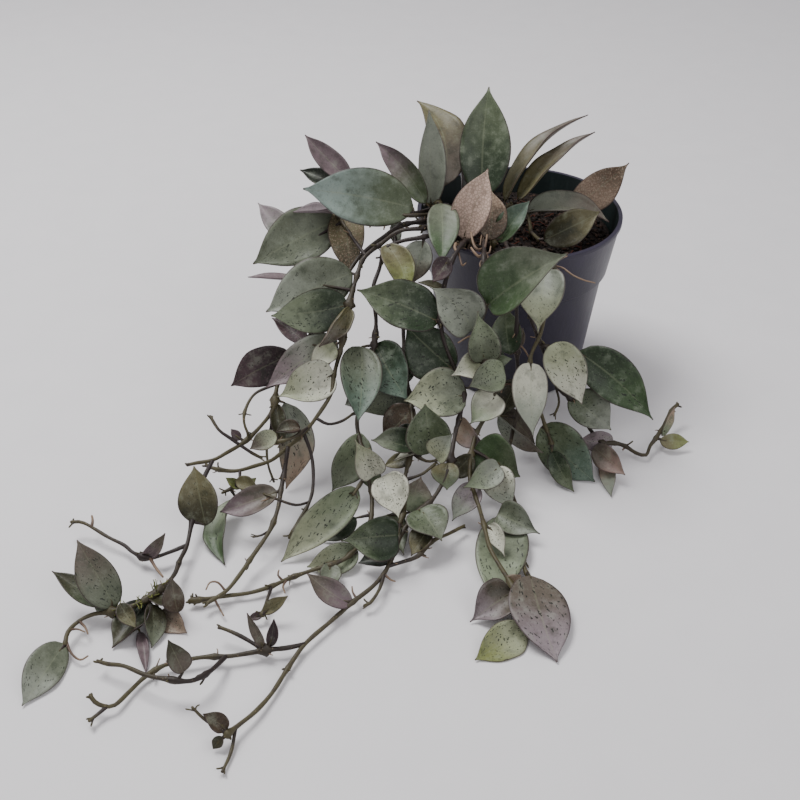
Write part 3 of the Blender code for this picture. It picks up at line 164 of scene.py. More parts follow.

# %% [markdown]
# This is the plan of the plant, one entry for each shoot or vine. Writing a plan takes
# longer than scattering leaves at random, but a real plant is not random: its leaves
# sit in pairs, they turn to the light, and the eye knows the heap that they make.

# %% The plan of the plant
# thick: stem radius at its root in mm. points: (across, down, height in mm) in the view.
# root: where the stem stands in the soil, in mm; a stem without one springs from the
# stems above it. base, tip: ends of the blade in the view. wide: blade width in mm.
# tilt: degrees by which the tip comes towards the eye. turn: degrees about the midrib.
# fold: degrees by which each half lifts. arch: degrees of bend along the midrib, and
# bow: the same sideways. heart: from 0 to 1, how heart-shaped the blade is.
SPRAYS = [
    Spray("crown_back_shoot", [
        Stem(1.25, [(487, 222, 98), (485, 200, 110)], (-20, -4)),
        Stem(1.2, [(487, 222, 98), (500, 212, 103), (512, 203, 108)]),
    ], [
        Leaf((482, 197), (489, 87), 29, tilt=6, fold=14, arch=10),
        Leaf((466, 204), (460, 139), 20, tilt=-6, turn=62, fold=24),
        Leaf((505, 202), (588, 115), 17, tilt=4, turn=-66, fold=22, arch=52),
        Leaf((518, 200), (595, 132), 19, tilt=10, turn=-60, fold=22, arch=40),
    ]),
    Spray("crown_left_shoot", [
        Stem(1.25, [(446, 212, 101), (438, 204, 110)], (-38, 6)),
        Stem(1.1, [(446, 212, 101), (432, 206, 107), (425, 204, 110)]),
    ], [
        Leaf((443, 186), (417, 101), 24, tilt=-20, turn=10, fold=20, arch=50, bow=44),
        Leaf((431, 206), (429, 110), 19, tilt=20, turn=6, fold=34, arch=10, bow=-12),
        Leaf((426, 203), (376, 142), 17, turn=-12, fold=34, arch=26, bow=40),
        Leaf((441, 204), (442, 264), 18, tilt=26, fold=14, arch=30),
    ]),
    Spray("crown_front_shoot", [
        Stem(1.25, [(492, 248, 93), (494, 241, 97)], (-18, -26)),
        Stem(1.2, [(492, 248, 93), (476, 246, 96), (464, 240, 99)]),
    ], [
        Leaf((463, 239), (488, 169), 21, tilt=16, fold=14, arch=22),
        Leaf((490, 240), (491, 190), 19, tilt=2, turn=14, fold=20, arch=20),
        Leaf((499, 243), (530, 201), 15, tilt=8, turn=-14, fold=26, arch=10),
    ]),
    Spray("crown_right_shoot", [
        Stem(1.25, [(531, 232, 95), (528, 214, 102)], (6, -12)),
        Stem(1.1, [(531, 232, 96), (539, 240, 97)]),
    ], [
        Leaf((527, 212), (609, 222), 19, tilt=14, turn=-48, fold=34, arch=66),
        Leaf((544, 240), (600, 212), 21, tilt=8, turn=10, fold=24, arch=6),
    ]),
    Spray("crown_far_shoot", [
        Stem(1.25, [(568, 218, 95), (574, 206, 101)], (29, 4)),
    ], [
        Leaf((570, 208), (629, 163), 21, tilt=2, turn=4, fold=16, arch=10, heart=0.5),
    ]),
    Spray("left_high_vine", [
        Stem(1.25, [(447, 214, 102), (424, 215, 110), (402, 215, 111), (380, 206, 110),
                    (360, 194, 109), (346, 184, 110)], (-45, -2)),
    ], [
        Leaf((413, 208), (303, 189), 31, tilt=4, turn=-4, fold=12),
        Leaf((351, 182), (305, 135), 16, tilt=-6, turn=14, fold=30, arch=8),
        Leaf((349, 186), (300, 170), 15, tilt=-12, turn=24, fold=30, arch=8),
    ]),
    Spray("left_long_vine", [
        Stem(1.3, [(447, 223, 103), (424, 228, 109), (400, 231, 109), (382, 243, 103),
                   (364, 258, 96), (357, 276, 90), (349, 305, 80), (345, 330, 71),
                   (340, 352, 62), (334, 375, 55), (331, 394, 50), (318, 415, 44),
                   (304, 433, 37), (288, 447, 31), (272, 458, 26), (255, 464, 22),
                   (235, 471, 18), (216, 469, 16), (206, 465, 15)], (-42, -12)),
        Stem(1.1, [(366, 256, 97), (354, 240, 99), (342, 222, 101), (334, 210, 104)]),
        Stem(1.25, [(288, 447, 31), (285, 468, 26), (281, 490, 21), (278, 508, 18),
                    (270, 530, 14), (252, 557, 9), (238, 578, 7), (226, 592, 6),
                    (206, 604, 5)]),
        Stem(0.9, [(316, 418, 43), (328, 424, 41), (342, 421, 40), (354, 413, 41)]),
        Stem(1.0, [(304, 433, 37), (312, 458, 28), (313, 487, 21), (308, 505, 17),
                   (299, 520, 14), (289, 538, 10)]),
        Stem(0.9, [(240, 471, 19), (238, 484, 16), (222, 493, 14)]),
        Stem(1.0, [(308, 427, 39), (294, 437, 40), (278, 442, 38), (266, 441, 36)]),
        Stem(0.8, [(311, 503, 17), (296, 505, 18), (279, 500, 20), (262, 493, 21)]),
        Stem(0.7, [(270, 530, 14), (262, 535, 12), (253, 537, 11)]),
    ], [
        Leaf((338, 220), (253, 264), 31, tilt=6, turn=8, fold=14, arch=16),
        Leaf((343, 208), (350, 276), 21, tilt=22, turn=8, fold=16, arch=22),
        Leaf((338, 213), (293, 212), 13, turn=70, fold=30, arch=10),
        Leaf((300, 246), (258, 203), 15, tilt=-16, turn=12, fold=16, arch=8),
        Leaf((352, 273), (266, 312), 29, tilt=8, turn=6, fold=12, arch=12),
        Leaf((304, 282), (248, 277), 12, tilt=-14, turn=74, fold=20, arch=6),
        Leaf((348, 305), (271, 316), 24, turn=-10, fold=14, arch=12),
        Leaf((350, 308), (319, 347), 15, tilt=18, turn=-30, fold=50),
        Leaf((306, 343), (272, 318), 12, tilt=-18, turn=20, fold=20, arch=6),
        Leaf((336, 338), (266, 388), 21, tilt=2, turn=6, fold=16, arch=12),
        Leaf((335, 345), (310, 366), 14, tilt=20, fold=30, arch=12),
        Leaf((334, 374), (277, 397), 25, tilt=10, turn=6, fold=30, arch=20, heart=0.7),
        Leaf((300, 428), (276, 432), 12, tilt=10, turn=40, fold=40, arch=10),
        Leaf((277, 492), (220, 512), 17, tilt=6, turn=16, fold=30, arch=34),
        Leaf((236, 498), (225, 565), 17, tilt=4, turn=16, fold=28, arch=38, bow=44),
        Leaf((236, 481), (258, 488), 8, tilt=8, fold=20),
        Leaf((276, 434), (250, 449), 11, tilt=8, fold=26),
        Leaf((240, 488), (226, 478), 6, tilt=20, fold=30),
        Leaf((242, 490), (256, 478), 7, tilt=10, fold=30),
    ]),
    Spray("left_floor_vine", [
        Stem(1.3, [(452, 219, 101), (424, 221, 105), (400, 226, 104), (382, 238, 99),
                   (360, 256, 92), (344, 280, 84), (326, 310, 74), (308, 338, 64), (289, 366, 54),
                   (278, 384, 49), (275, 400, 45), (271, 413, 41), (260, 427, 36),
                   (249, 438, 32), (240, 445, 30), (228, 452, 26), (213, 460, 23),
                   (196, 463, 21), (187, 465, 20)], (-38, -4)),
        Stem(0.9, [(279, 384, 49), (256, 393, 47), (246, 408, 44), (244, 422, 40),
                   (249, 436, 34)]),
        Stem(1.0, [(240, 445, 30), (230, 438, 33), (219, 430, 36), (210, 416, 40)]),
        Stem(1.0, [(240, 445, 30), (252, 453, 27), (262, 460, 24)]),
        Stem(0.8, [(272, 412, 41), (271, 428, 34), (267, 444, 27), (268, 464, 20),
                   (274, 482, 13)]),
        Stem(1.25, [(213, 460, 23), (203, 480, 18), (196, 503, 14), (192, 521, 11),
                    (187, 545, 8), (180, 560, 8), (174, 575, 9), (160, 590, 10),
                    (145, 600, 10), (128, 608, 9), (112, 612, 7), (94, 614, 6),
                    (79, 621, 6), (68, 632, 6), (65, 645, 5)]),
        Stem(1.1, [(187, 545, 8), (170, 552, 7), (150, 558, 6), (134, 553, 6),
                   (124, 545, 6), (108, 537, 7), (84, 523, 9), (71, 522, 10)]),
    ], [
        Leaf((292, 354), (231, 386), 22, tilt=-6, turn=-10, fold=14, arch=8),
        Leaf((240, 440), (231, 429), 5, fold=20),
        Leaf((206, 525), (194, 466), 20, tilt=6, turn=-8, fold=14, arch=18),
        Leaf((115, 607), (77, 540), 19, tilt=8, turn=-8, fold=16),
        Leaf((107, 605), (52, 571), 12, tilt=2, turn=22, fold=20, arch=8),
        Leaf((115, 611), (93, 594), 11, fold=20),
        Leaf((146, 601), (112, 648), 20, tilt=4, turn=10, fold=30, arch=-16),
        Leaf((150, 598), (182, 604), 14, tilt=10, turn=-20, fold=20),
        Leaf((152, 604), (152, 648), 13, turn=-30, fold=24, arch=12),
        Leaf((140, 632), (146, 673), 6, tilt=4, fold=30),
        Leaf((160, 612), (187, 633), 12, turn=10, fold=16, arch=8),
        Leaf((64, 644), (22, 706), 17, tilt=4, fold=10, arch=8),
        Leaf((143, 557), (165, 533), 8, tilt=14, fold=34, arch=20, bow=30),
        Leaf((178, 612), (172, 578), 11, tilt=10, fold=24),
        Leaf((120, 604), (136, 628), 9, tilt=10, fold=30),
        Leaf((285, 403), (286, 489), 22, tilt=-2, turn=-14, fold=26, bow=-34),
        Leaf((277, 404), (283, 446), 10, tilt=4, turn=-10, fold=30),
    ]),
    Spray("left_inner_vine", [
        Stem(1.25, [(455, 230, 102), (424, 237, 107), (402, 241, 105), (386, 249, 101),
                    (379, 270, 92), (373, 290, 85), (376, 320, 71), (374, 345, 61),
                    (368, 375, 50), (360, 402, 41), (357, 424, 34), (362, 450, 28),
                    (367, 474, 22), (372, 500, 15), (368, 530, 10), (350, 555, 7),
                    (330, 565, 6), (313, 570, 5), (290, 578, 4), (272, 586, 4),
                    (250, 592, 4), (227, 595, 4), (205, 599, 4), (189, 601, 4)],
             (-42, -20)),
        Stem(0.9, [(386, 250, 101), (395, 275, 92), (402, 293, 85)]),
        Stem(1.0, [(367, 474, 22), (353, 495, 20)]),
        Stem(0.9, [(272, 586, 4), (267, 600, 5), (262, 615, 5)]),
    ], [
        Leaf((386, 245), (407, 296), 18, tilt=16, turn=-10, fold=28, arch=22, bow=-36),
        Leaf((361, 347), (358, 422), 25, tilt=12, turn=-8, fold=24, arch=20),
        Leaf((376, 344), (408, 400), 27, tilt=12, turn=10, fold=22, arch=22),
        Leaf((362, 398), (345, 405), 8, tilt=6, fold=20),
        Leaf((362, 434), (332, 491), 20, tilt=4, turn=-14, fold=16),
        Leaf((374, 476), (355, 440), 18, tilt=26, fold=32, arch=20, heart=1),
        Leaf((358, 490), (281, 562), 22, tilt=4, turn=-10, fold=28, arch=26),
        Leaf((356, 518), (322, 541), 10, tilt=-8, fold=20),
        Leaf((358, 552), (307, 567), 17, tilt=8, turn=10, fold=26, arch=22),
        Leaf((330, 563), (327, 591), 11, tilt=20, fold=20),
        Leaf((264, 613), (288, 596), 7, tilt=10, fold=26, arch=20),
        Leaf((263, 614), (248, 619), 4, fold=20),
        Leaf((424, 241), (412, 284), 17, tilt=-8, turn=6, fold=16),
        Leaf((362, 455), (378, 492), 12, tilt=-12, fold=20),
    ]),
    Spray("middle_left_vine", [
        Stem(1.2, [(450, 206, 100), (420, 212, 105), (398, 217, 103), (395, 236, 97),
                   (398, 262, 88), (402, 290, 78), (403, 320, 68), (404, 350, 57),
                   (407, 380, 47), (411, 405, 40), (413, 430, 34), (411, 452, 28),
                   (407, 468, 24), (404, 485, 20), (405, 505, 15), (400, 524, 12)],
             (-42, 4)),
        Stem(0.9, [(411, 452, 28), (426, 461, 27), (438, 460, 27)]),
        Stem(0.9, [(404, 480, 21), (422, 474, 23), (436, 463, 26)]),
    ], [
        Leaf((396, 244), (395, 216), 7, tilt=2, fold=24),
        Leaf((412, 392), (362, 412), 18, tilt=-6, fold=14, arch=8),
        Leaf((414, 408), (382, 438), 19, tilt=-4, turn=14, fold=20, arch=-8),
        Leaf((414, 449), (371, 440), 17, tilt=8, turn=12, fold=30, arch=18, heart=0.5),
        Leaf((427, 449), (393, 461), 8, tilt=6, turn=66, fold=16),
        Leaf((410, 458), (384, 466), 9, turn=20, fold=20),
        Leaf((384, 476), (399, 519), 22, tilt=22, turn=4, fold=26, arch=20, heart=0.7),
        Leaf((410, 512), (421, 477), 19, tilt=16, turn=-6, fold=20, bow=-20, heart=0.3),
        Leaf((398, 535), (341, 541), 27, tilt=14, turn=-14, fold=32, arch=24, bow=24, heart=0.9),
        Leaf((387, 515), (404, 555), 16, tilt=34, turn=4, fold=30, heart=0.6),
        Leaf((404, 350), (392, 392), 18, tilt=-10, fold=16),
        Leaf((412, 425), (396, 448), 12, tilt=-10, fold=20),
    ]),
    Spray("front_long_vine", [
        Stem(1.3, [(468, 238, 103), (460, 247, 108), (451, 262, 105), (447, 275, 97),
                   (443, 292, 89), (440, 312, 80), (442, 332, 71), (448, 352, 62),
                   (457, 374, 52), (464, 395, 44), (460, 415, 38), (455, 435, 32),
                   (452, 452, 28), (449, 468, 24), (441, 486, 20), (431, 501, 17),
                   (418, 512, 15), (404, 530, 11), (394, 552, 9), (385, 572, 7), (372, 587, 6),
                   (353, 602, 5), (330, 622, 4), (305, 644, 4), (288, 668, 3), (272, 693, 3),
                   (256, 711, 4), (240, 724, 5), (226, 735, 6)], (-31, -27)),
        Stem(1.1, [(389, 566, 8), (402, 562, 7), (418, 556, 7), (431, 542, 8),
                   (448, 534, 6), (464, 526, 5)]),
        Stem(1.0, [(385, 572, 7), (379, 590, 6), (370, 603, 5), (364, 606, 4)]),
        Stem(1.2, [(305, 644, 4), (286, 648, 5), (266, 650, 5), (231, 656, 5),
                   (205, 657, 5), (186, 660, 5), (165, 665, 4), (146, 676, 3),
                   (131, 690, 3), (115, 705, 4), (104, 706, 5), (95, 702, 7),
                   (90, 695, 9)]),
        Stem(1.0, [(108, 706, 5), (98, 714, 4), (89, 721, 4)]),
        Stem(1.2, [(226, 657, 5), (209, 672, 9), (190, 681, 12), (166, 679, 12),
                   (146, 675, 11), (124, 666, 10), (108, 664, 8), (97, 661, 7)]),
        Stem(1.1, [(264, 649, 5), (246, 639, 7), (232, 632, 8), (219, 627, 9)]),
        Stem(0.9, [(236, 728, 5), (231, 752, 2), (222, 772, 2)]),
        Stem(0.8, [(228, 733, 6), (216, 727, 9), (203, 718, 13), (192, 707, 17)]),
    ], [
        Leaf((438, 322), (357, 290), 28, tilt=4, turn=10, fold=22, heart=0.4),
        Leaf((454, 370), (406, 326), 29, tilt=4, turn=-6, arch=16),
        Leaf((446, 290), (418, 282), 6, tilt=4, turn=50, fold=20),
        Leaf((449, 258), (433, 282), 13, tilt=-20, turn=34, fold=16, arch=-6),
        Leaf((466, 396), (404, 401), 28, tilt=8, turn=8, fold=22, arch=26, bow=20, heart=0.4),
        Leaf((430, 453), (425, 404), 26, tilt=20, turn=8, fold=24, arch=20),
        Leaf((436, 458), (453, 433), 15, tilt=34, turn=-16, fold=26, arch=16, heart=1),
        Leaf((448, 463), (447, 490), 15, tilt=24, fold=14, arch=20),
        Leaf((420, 509), (442, 541), 23, tilt=30, turn=-10, fold=20, arch=22, heart=0.4),
        Leaf((427, 531), (411, 556), 14, tilt=20, turn=20, fold=30, arch=20, heart=0.6),
        Leaf((394, 557), (358, 563), 11, turn=24, fold=20),
        Leaf((351, 604), (307, 573), 14, tilt=8, turn=20, fold=26, arch=18, bow=-40),
        Leaf((264, 648), (247, 613), 5, tilt=20, fold=30),
        Leaf((270, 646), (274, 619), 6, tilt=12, fold=30),
        Leaf((183, 672), (168, 640), 11, tilt=22, fold=26, arch=16),
        Leaf((227, 729), (203, 714), 9, tilt=16, fold=30, arch=12),
        Leaf((222, 737), (213, 749), 5, fold=20),
    ]),
    Spray("front_middle_vine", [
        Stem(1.3, [(485, 241, 103), (484, 251, 107), (484, 265, 105), (486, 285, 93),
                   (486, 305, 84), (480, 330, 72), (484, 360, 58), (494, 385, 47),
                   (490, 408, 38), (477, 432, 30), (471, 455, 24), (470, 478, 18),
                   (474, 492, 15), (479, 507, 13), (484, 525, 13), (490, 548, 12),
                   (500, 566, 11), (510, 582, 9), (515, 594, 8), (517, 606, 7)], (-18, -34)),
        Stem(1.0, [(471, 450, 25), (484, 456, 24), (498, 466, 22)]),
    ], [
        Leaf((488, 305), (568, 254), 36, tilt=8, turn=-20, fold=32, arch=20, heart=0.5),
        Leaf((472, 330), (430, 287), 27, tilt=12, turn=-8, fold=24, arch=28, bow=56, heart=0.8),
        Leaf((485, 361), (478, 311), 21, tilt=24, turn=12, fold=32, bow=-26, heart=1),
        Leaf((484, 359), (451, 376), 18, tilt=16, fold=26, arch=18, heart=0.8),
        Leaf((487, 362), (512, 359), 8, tilt=6, turn=20, fold=20),
        Leaf((504, 370), (469, 387), 20, tilt=12, turn=-14, fold=26, heart=0.3),
        Leaf((497, 395), (470, 424), 20, tilt=18, turn=8, fold=26, arch=16, heart=0.6),
        Leaf((460, 420), (492, 449), 14, tilt=18, turn=20, fold=34, arch=20, bow=34, heart=1),
        Leaf((472, 453), (520, 477), 30, tilt=10, turn=-6, arch=20, bow=-26),
        Leaf((500, 467), (463, 488), 17, tilt=18, fold=30, arch=24, heart=0.8),
        Leaf((490, 470), (514, 511), 19, tilt=22, turn=-8, fold=26, arch=16, heart=0.8),
        Leaf((474, 484), (452, 521), 16, tilt=10, turn=12, fold=28, heart=0.6),
        Leaf((489, 525), (505, 557), 11, tilt=24, fold=34, arch=16, heart=1),
        Leaf((512, 592), (470, 622), 23, tilt=10, turn=8, fold=34, arch=16, heart=0.9),
        Leaf((516, 590), (529, 626), 8, tilt=14, turn=50, fold=20),
        Leaf((508, 590), (481, 613), 9, tilt=20, turn=-24, fold=24),
        Leaf((508, 586), (521, 575), 9, tilt=18, fold=20),
        Leaf((524, 628), (475, 660), 19, fold=14, arch=8),
        Leaf((484, 345), (505, 372), 13, tilt=-10, fold=20),
        Leaf((472, 455), (448, 478), 12, tilt=-8, fold=20),
    ]),
    Spray("front_right_vine", [
        Stem(1.25, [(506, 243, 103), (510, 254, 107), (514, 272, 102), (516, 292, 90),
                    (517, 330, 68), (517, 352, 56), (518, 380, 42), (519, 404, 31),
                    (513, 430, 22), (509, 452, 17), (510, 474, 12), (512, 492, 9),
                    (518, 512, 6), (524, 540, 4), (524, 566, 3), (531, 580, 3)], (-2, -34)),
    ], [
        Leaf((510, 354), (506, 307), 18, tilt=8, turn=-10),
        Leaf((520, 347), (523, 328), 4, tilt=4, fold=20),
        Leaf((498, 416), (543, 453), 16, tilt=8, turn=58, fold=24, arch=12),
        Leaf((502, 406), (535, 444), 13, turn=20, arch=8),
        Leaf((508, 516), (492, 603), 26, tilt=-4, fold=9, arch=6),
        Leaf((498, 514), (540, 534), 20, tilt=16, turn=16, fold=34, arch=20, heart=0.9),
        Leaf((530, 576), (557, 662), 30, tilt=2, fold=8, arch=6),
        Leaf((518, 380), (500, 418), 15, tilt=-4, fold=20),
    ]),
    Spray("right_vine", [
        Stem(1.2, [(544, 252, 102), (554, 266, 103), (552, 288, 90), (545, 312, 78),
                   (540, 333, 67), (533, 350, 59), (530, 362, 55), (533, 385, 42),
                   (540, 410, 30), (546, 428, 22), (552, 444, 16)], (14, -34)),
    ], [
        Leaf((546, 270), (538, 333), 29, tilt=16, turn=6, fold=26, arch=16, heart=0.9),
        Leaf((531, 363), (533, 437), 21, tilt=18, turn=-6, fold=24, arch=18, heart=0.5),
        Leaf((541, 427), (595, 482), 28, tilt=4, turn=6, fold=12, arch=16),
        Leaf((552, 452), (574, 492), 12, tilt=-4, turn=14, fold=20),
    ]),
    Spray("right_low_vine", [
        Stem(1.25, [(528, 251, 102), (533, 262, 104), (530, 290, 91), (531, 315, 78),
                    (538, 336, 64), (546, 358, 51), (555, 384, 38), (570, 398, 30),
                    (582, 416, 20), (592, 432, 12), (602, 443, 8), (614, 443, 7),
                    (625, 446, 6), (636, 453, 4), (646, 455, 4), (650, 446, 5),
                    (656, 438, 7), (664, 425, 9), (671, 411, 12), (678, 404, 14)],
             (4, -30)),
        Stem(1.2, [(541, 345, 59), (556, 350, 56), (576, 356, 52)]),
        Stem(0.8, [(555, 384, 38), (559, 402, 30), (554, 416, 25)]),
    ], [
        Leaf((555, 343), (582, 404), 24, tilt=18, turn=-6, fold=24, arch=20),
        Leaf((578, 352), (653, 420), 26, turn=8, fold=16, arch=12, bow=-14, heart=0.5),
        Leaf((550, 348), (567, 394), 8, tilt=4, turn=56, fold=20),
        Leaf((570, 396), (611, 430), 22, turn=-8, fold=16, arch=10),
        Leaf((613, 441), (579, 440), 14, tilt=12, fold=20),
        Leaf((594, 447), (625, 475), 14, tilt=10, turn=12, fold=22, arch=12),
        Leaf((603, 462), (611, 497), 9, tilt=-4, fold=16),
        Leaf((660, 441), (689, 442), 9, fold=12),
        Leaf((662, 436), (675, 407), 5, tilt=6, turn=30, fold=24),
    ]),
]
print("shoots and vines:", len(SPRAYS), "leaves:", sum(len(spray.leaves) for spray in SPRAYS))

# %% [markdown]
# A place in the view fixes a line of sight, and a height fixes the point on it. Two small
# functions do this for every point of the plan. A third lays a smooth curve through points,
# so that a stem bends as a living one does and has no corners.

# %% From the view to the world
def sight(across, down, height):
    """World point at this height on the line of sight through a place in the view."""
    toward = sight_line(across, down)
    return EYE + toward * ((height * MM - EYE.z) / toward.z)


def sight_line(across, down):
    """Line of sight, one unit long along the view's axis."""
    right = (across - VIEW_MIDDLE) / EYE_FOCAL
    up = (VIEW_MIDDLE - down) / EYE_FOCAL
    cosine, sine = math.cos(EYE_PITCH), math.sin(EYE_PITCH)
    return Vector((right, cosine + up * sine, up * cosine - sine))


def smooth_path(points, spacing):
    """Points about one spacing apart along a smooth curve through the given points."""
    ends = [points[0] * 2 - points[1]] + points + [points[-1] * 2 - points[-2]]
    path = [points[0].copy()]
    for before, start, stop, after in zip(ends, ends[1:], ends[2:], ends[3:]):
        pieces = max(1, round((stop - start).length / spacing))
        for piece in range(1, pieces + 1):
            t = piece / pieces
            path.append(0.5 * (
                2 * start + (stop - before) * t
                + (2 * before - 5 * start + 4 * stop - after) * t ** 2
                + (3 * start - before - 3 * stop + after) * t ** 3))
    return path


rim_spot = sight(500, 270, POT_HEIGHT)
print("the pot's front rim is seen at", tuple(round(v, 3) for v in rim_spot))

# %% [markdown]
# Stems start below the soil, go straight up out of it and then follow the plan. A side
# branch starts on the middle line of the stem that bears it. Where two vines would run
# through each other, both are pushed aside by half of what is missing, again and again
# until none touch, which is how a bundle of real stems settles.

# %% Stem centre lines
def nearest_on(path, point):
    """Nearest point of a path of straight runs."""
    best = path[0]
    for start, stop in zip(path, path[1:]):
        run = stop - start
        share = max(0.0, min(1.0, (point - start).dot(run) / run.length_squared))
        spot = start + run * share
        if (spot - point).length < (best - point).length:
            best = spot
    return best


def stem_paths(spray):
    """Centre lines of a spray's stems with the radius at each point."""
    stems = []
    for stem in spray.stems:
        points = [sight(*place) for place in stem.points]
        if stem.root is not None:
            foot = Vector((stem.root[0] * MM, stem.root[1] * MM, (SOIL_TOP - ROOT_DEPTH) * MM))
            neck = foot + Vector((0, 0, (ROOT_DEPTH + SOIL_DOME) * MM))
            path = [foot] + smooth_path([neck] + points, STEM_SPACING * MM)
        else:
            path = smooth_path(points, STEM_SPACING * MM)
        last = len(path) - 1
        radii = [stem.thick * MM * (1 - (1 - TIP_SHARE) * i / last) for i in range(last + 1)]
        stems.append((path, radii))
    settle(stems, spray)
    return stems


def settle(stems, spray):
    """Keep stems above the table and start each branch on the middle of its parent."""
    for number, (path, radii) in enumerate(stems):
        for point, radius in zip(path, radii):
            point.z = max(point.z, radius + TABLE_CLEAR * MM)
        if spray.stems[number].root is None:
            starts = [nearest_on(parent, path[0]) for parent, _ in stems[:number]]
            path[0] = min(starts, key=lambda spot: (spot - path[0]).length)


def closest(one, two):
    """Nearest points of two straight runs, found by going back and forth between them."""
    here = (one[0] + one[1]) / 2
    for _ in range(CLOSEST_ROUNDS):
        there = nearest_on(two, here)
        here = nearest_on(one, there)
    return here, there


def part_stems(stems):
    """Push the stems of different sprays apart wherever they would touch."""
    runs = [(number, path, radii, i)
            for number, spray in enumerate(SPRAYS) for path, radii in stems[spray.name]
            for i in range(len(path) - 1)]
    owner = np.array([run[0] for run in runs])
    for _ in range(PART_ROUNDS):
        middles = np.array([(path[i] + path[i + 1]) / 2 for _, path, _, i in runs])
        reach = np.array([(path[i + 1] - path[i]).length / 2 for _, path, _, i in runs])
        apart = np.linalg.norm(middles[:, None] - middles[None, :], axis=2)
        near = apart < reach[:, None] + reach[None, :] + PART_NEAR * MM
        near &= owner[:, None] < owner[None, :]
        moved = False
        for m, n in np.argwhere(near):
            _, one, one_radii, i = runs[m]
            _, two, two_radii, j = runs[n]
            here, there = closest(one[i:i + 2], two[j:j + 2])
            away = here - there
            short = one_radii[i] + two_radii[j] + 2 * GAP * MM - away.length
            if short > 0:
                moved = True
                if away.length < TOUCHING:
                    away = EYE - here
                push = away.normalized() * (short * PART_SHARE)
                for path, k, step in ((one, i, push), (two, j, -push)):
                    path[k + 1] += step
                    if k > 1:
                        path[k] += step
        for spray in SPRAYS:
            settle(stems[spray.name], spray)
        if not moved:
            return


def in_soil(spot):
    """Whether a point is in the soil or too close above it to bear a leaf."""
    near = (SOIL_TOP + SOIL_DOME + STALK_LEAST) * MM
    return spot.z < near and spot.xy.length < SOIL_EDGE * MM


print("stems start", ROOT_DEPTH, "mm below the top of the soil")

# %% [markdown]
# A leaf blade is a sheet with two curves in it. It is folded along the midrib, like a
# boat, and it arches from its base to its tip. The class below holds one leaf: it finds the
# spot on the nearest stem that bears it, works out which way it faces, and can then give
# any point of the blade from two numbers, how far along and how far across.

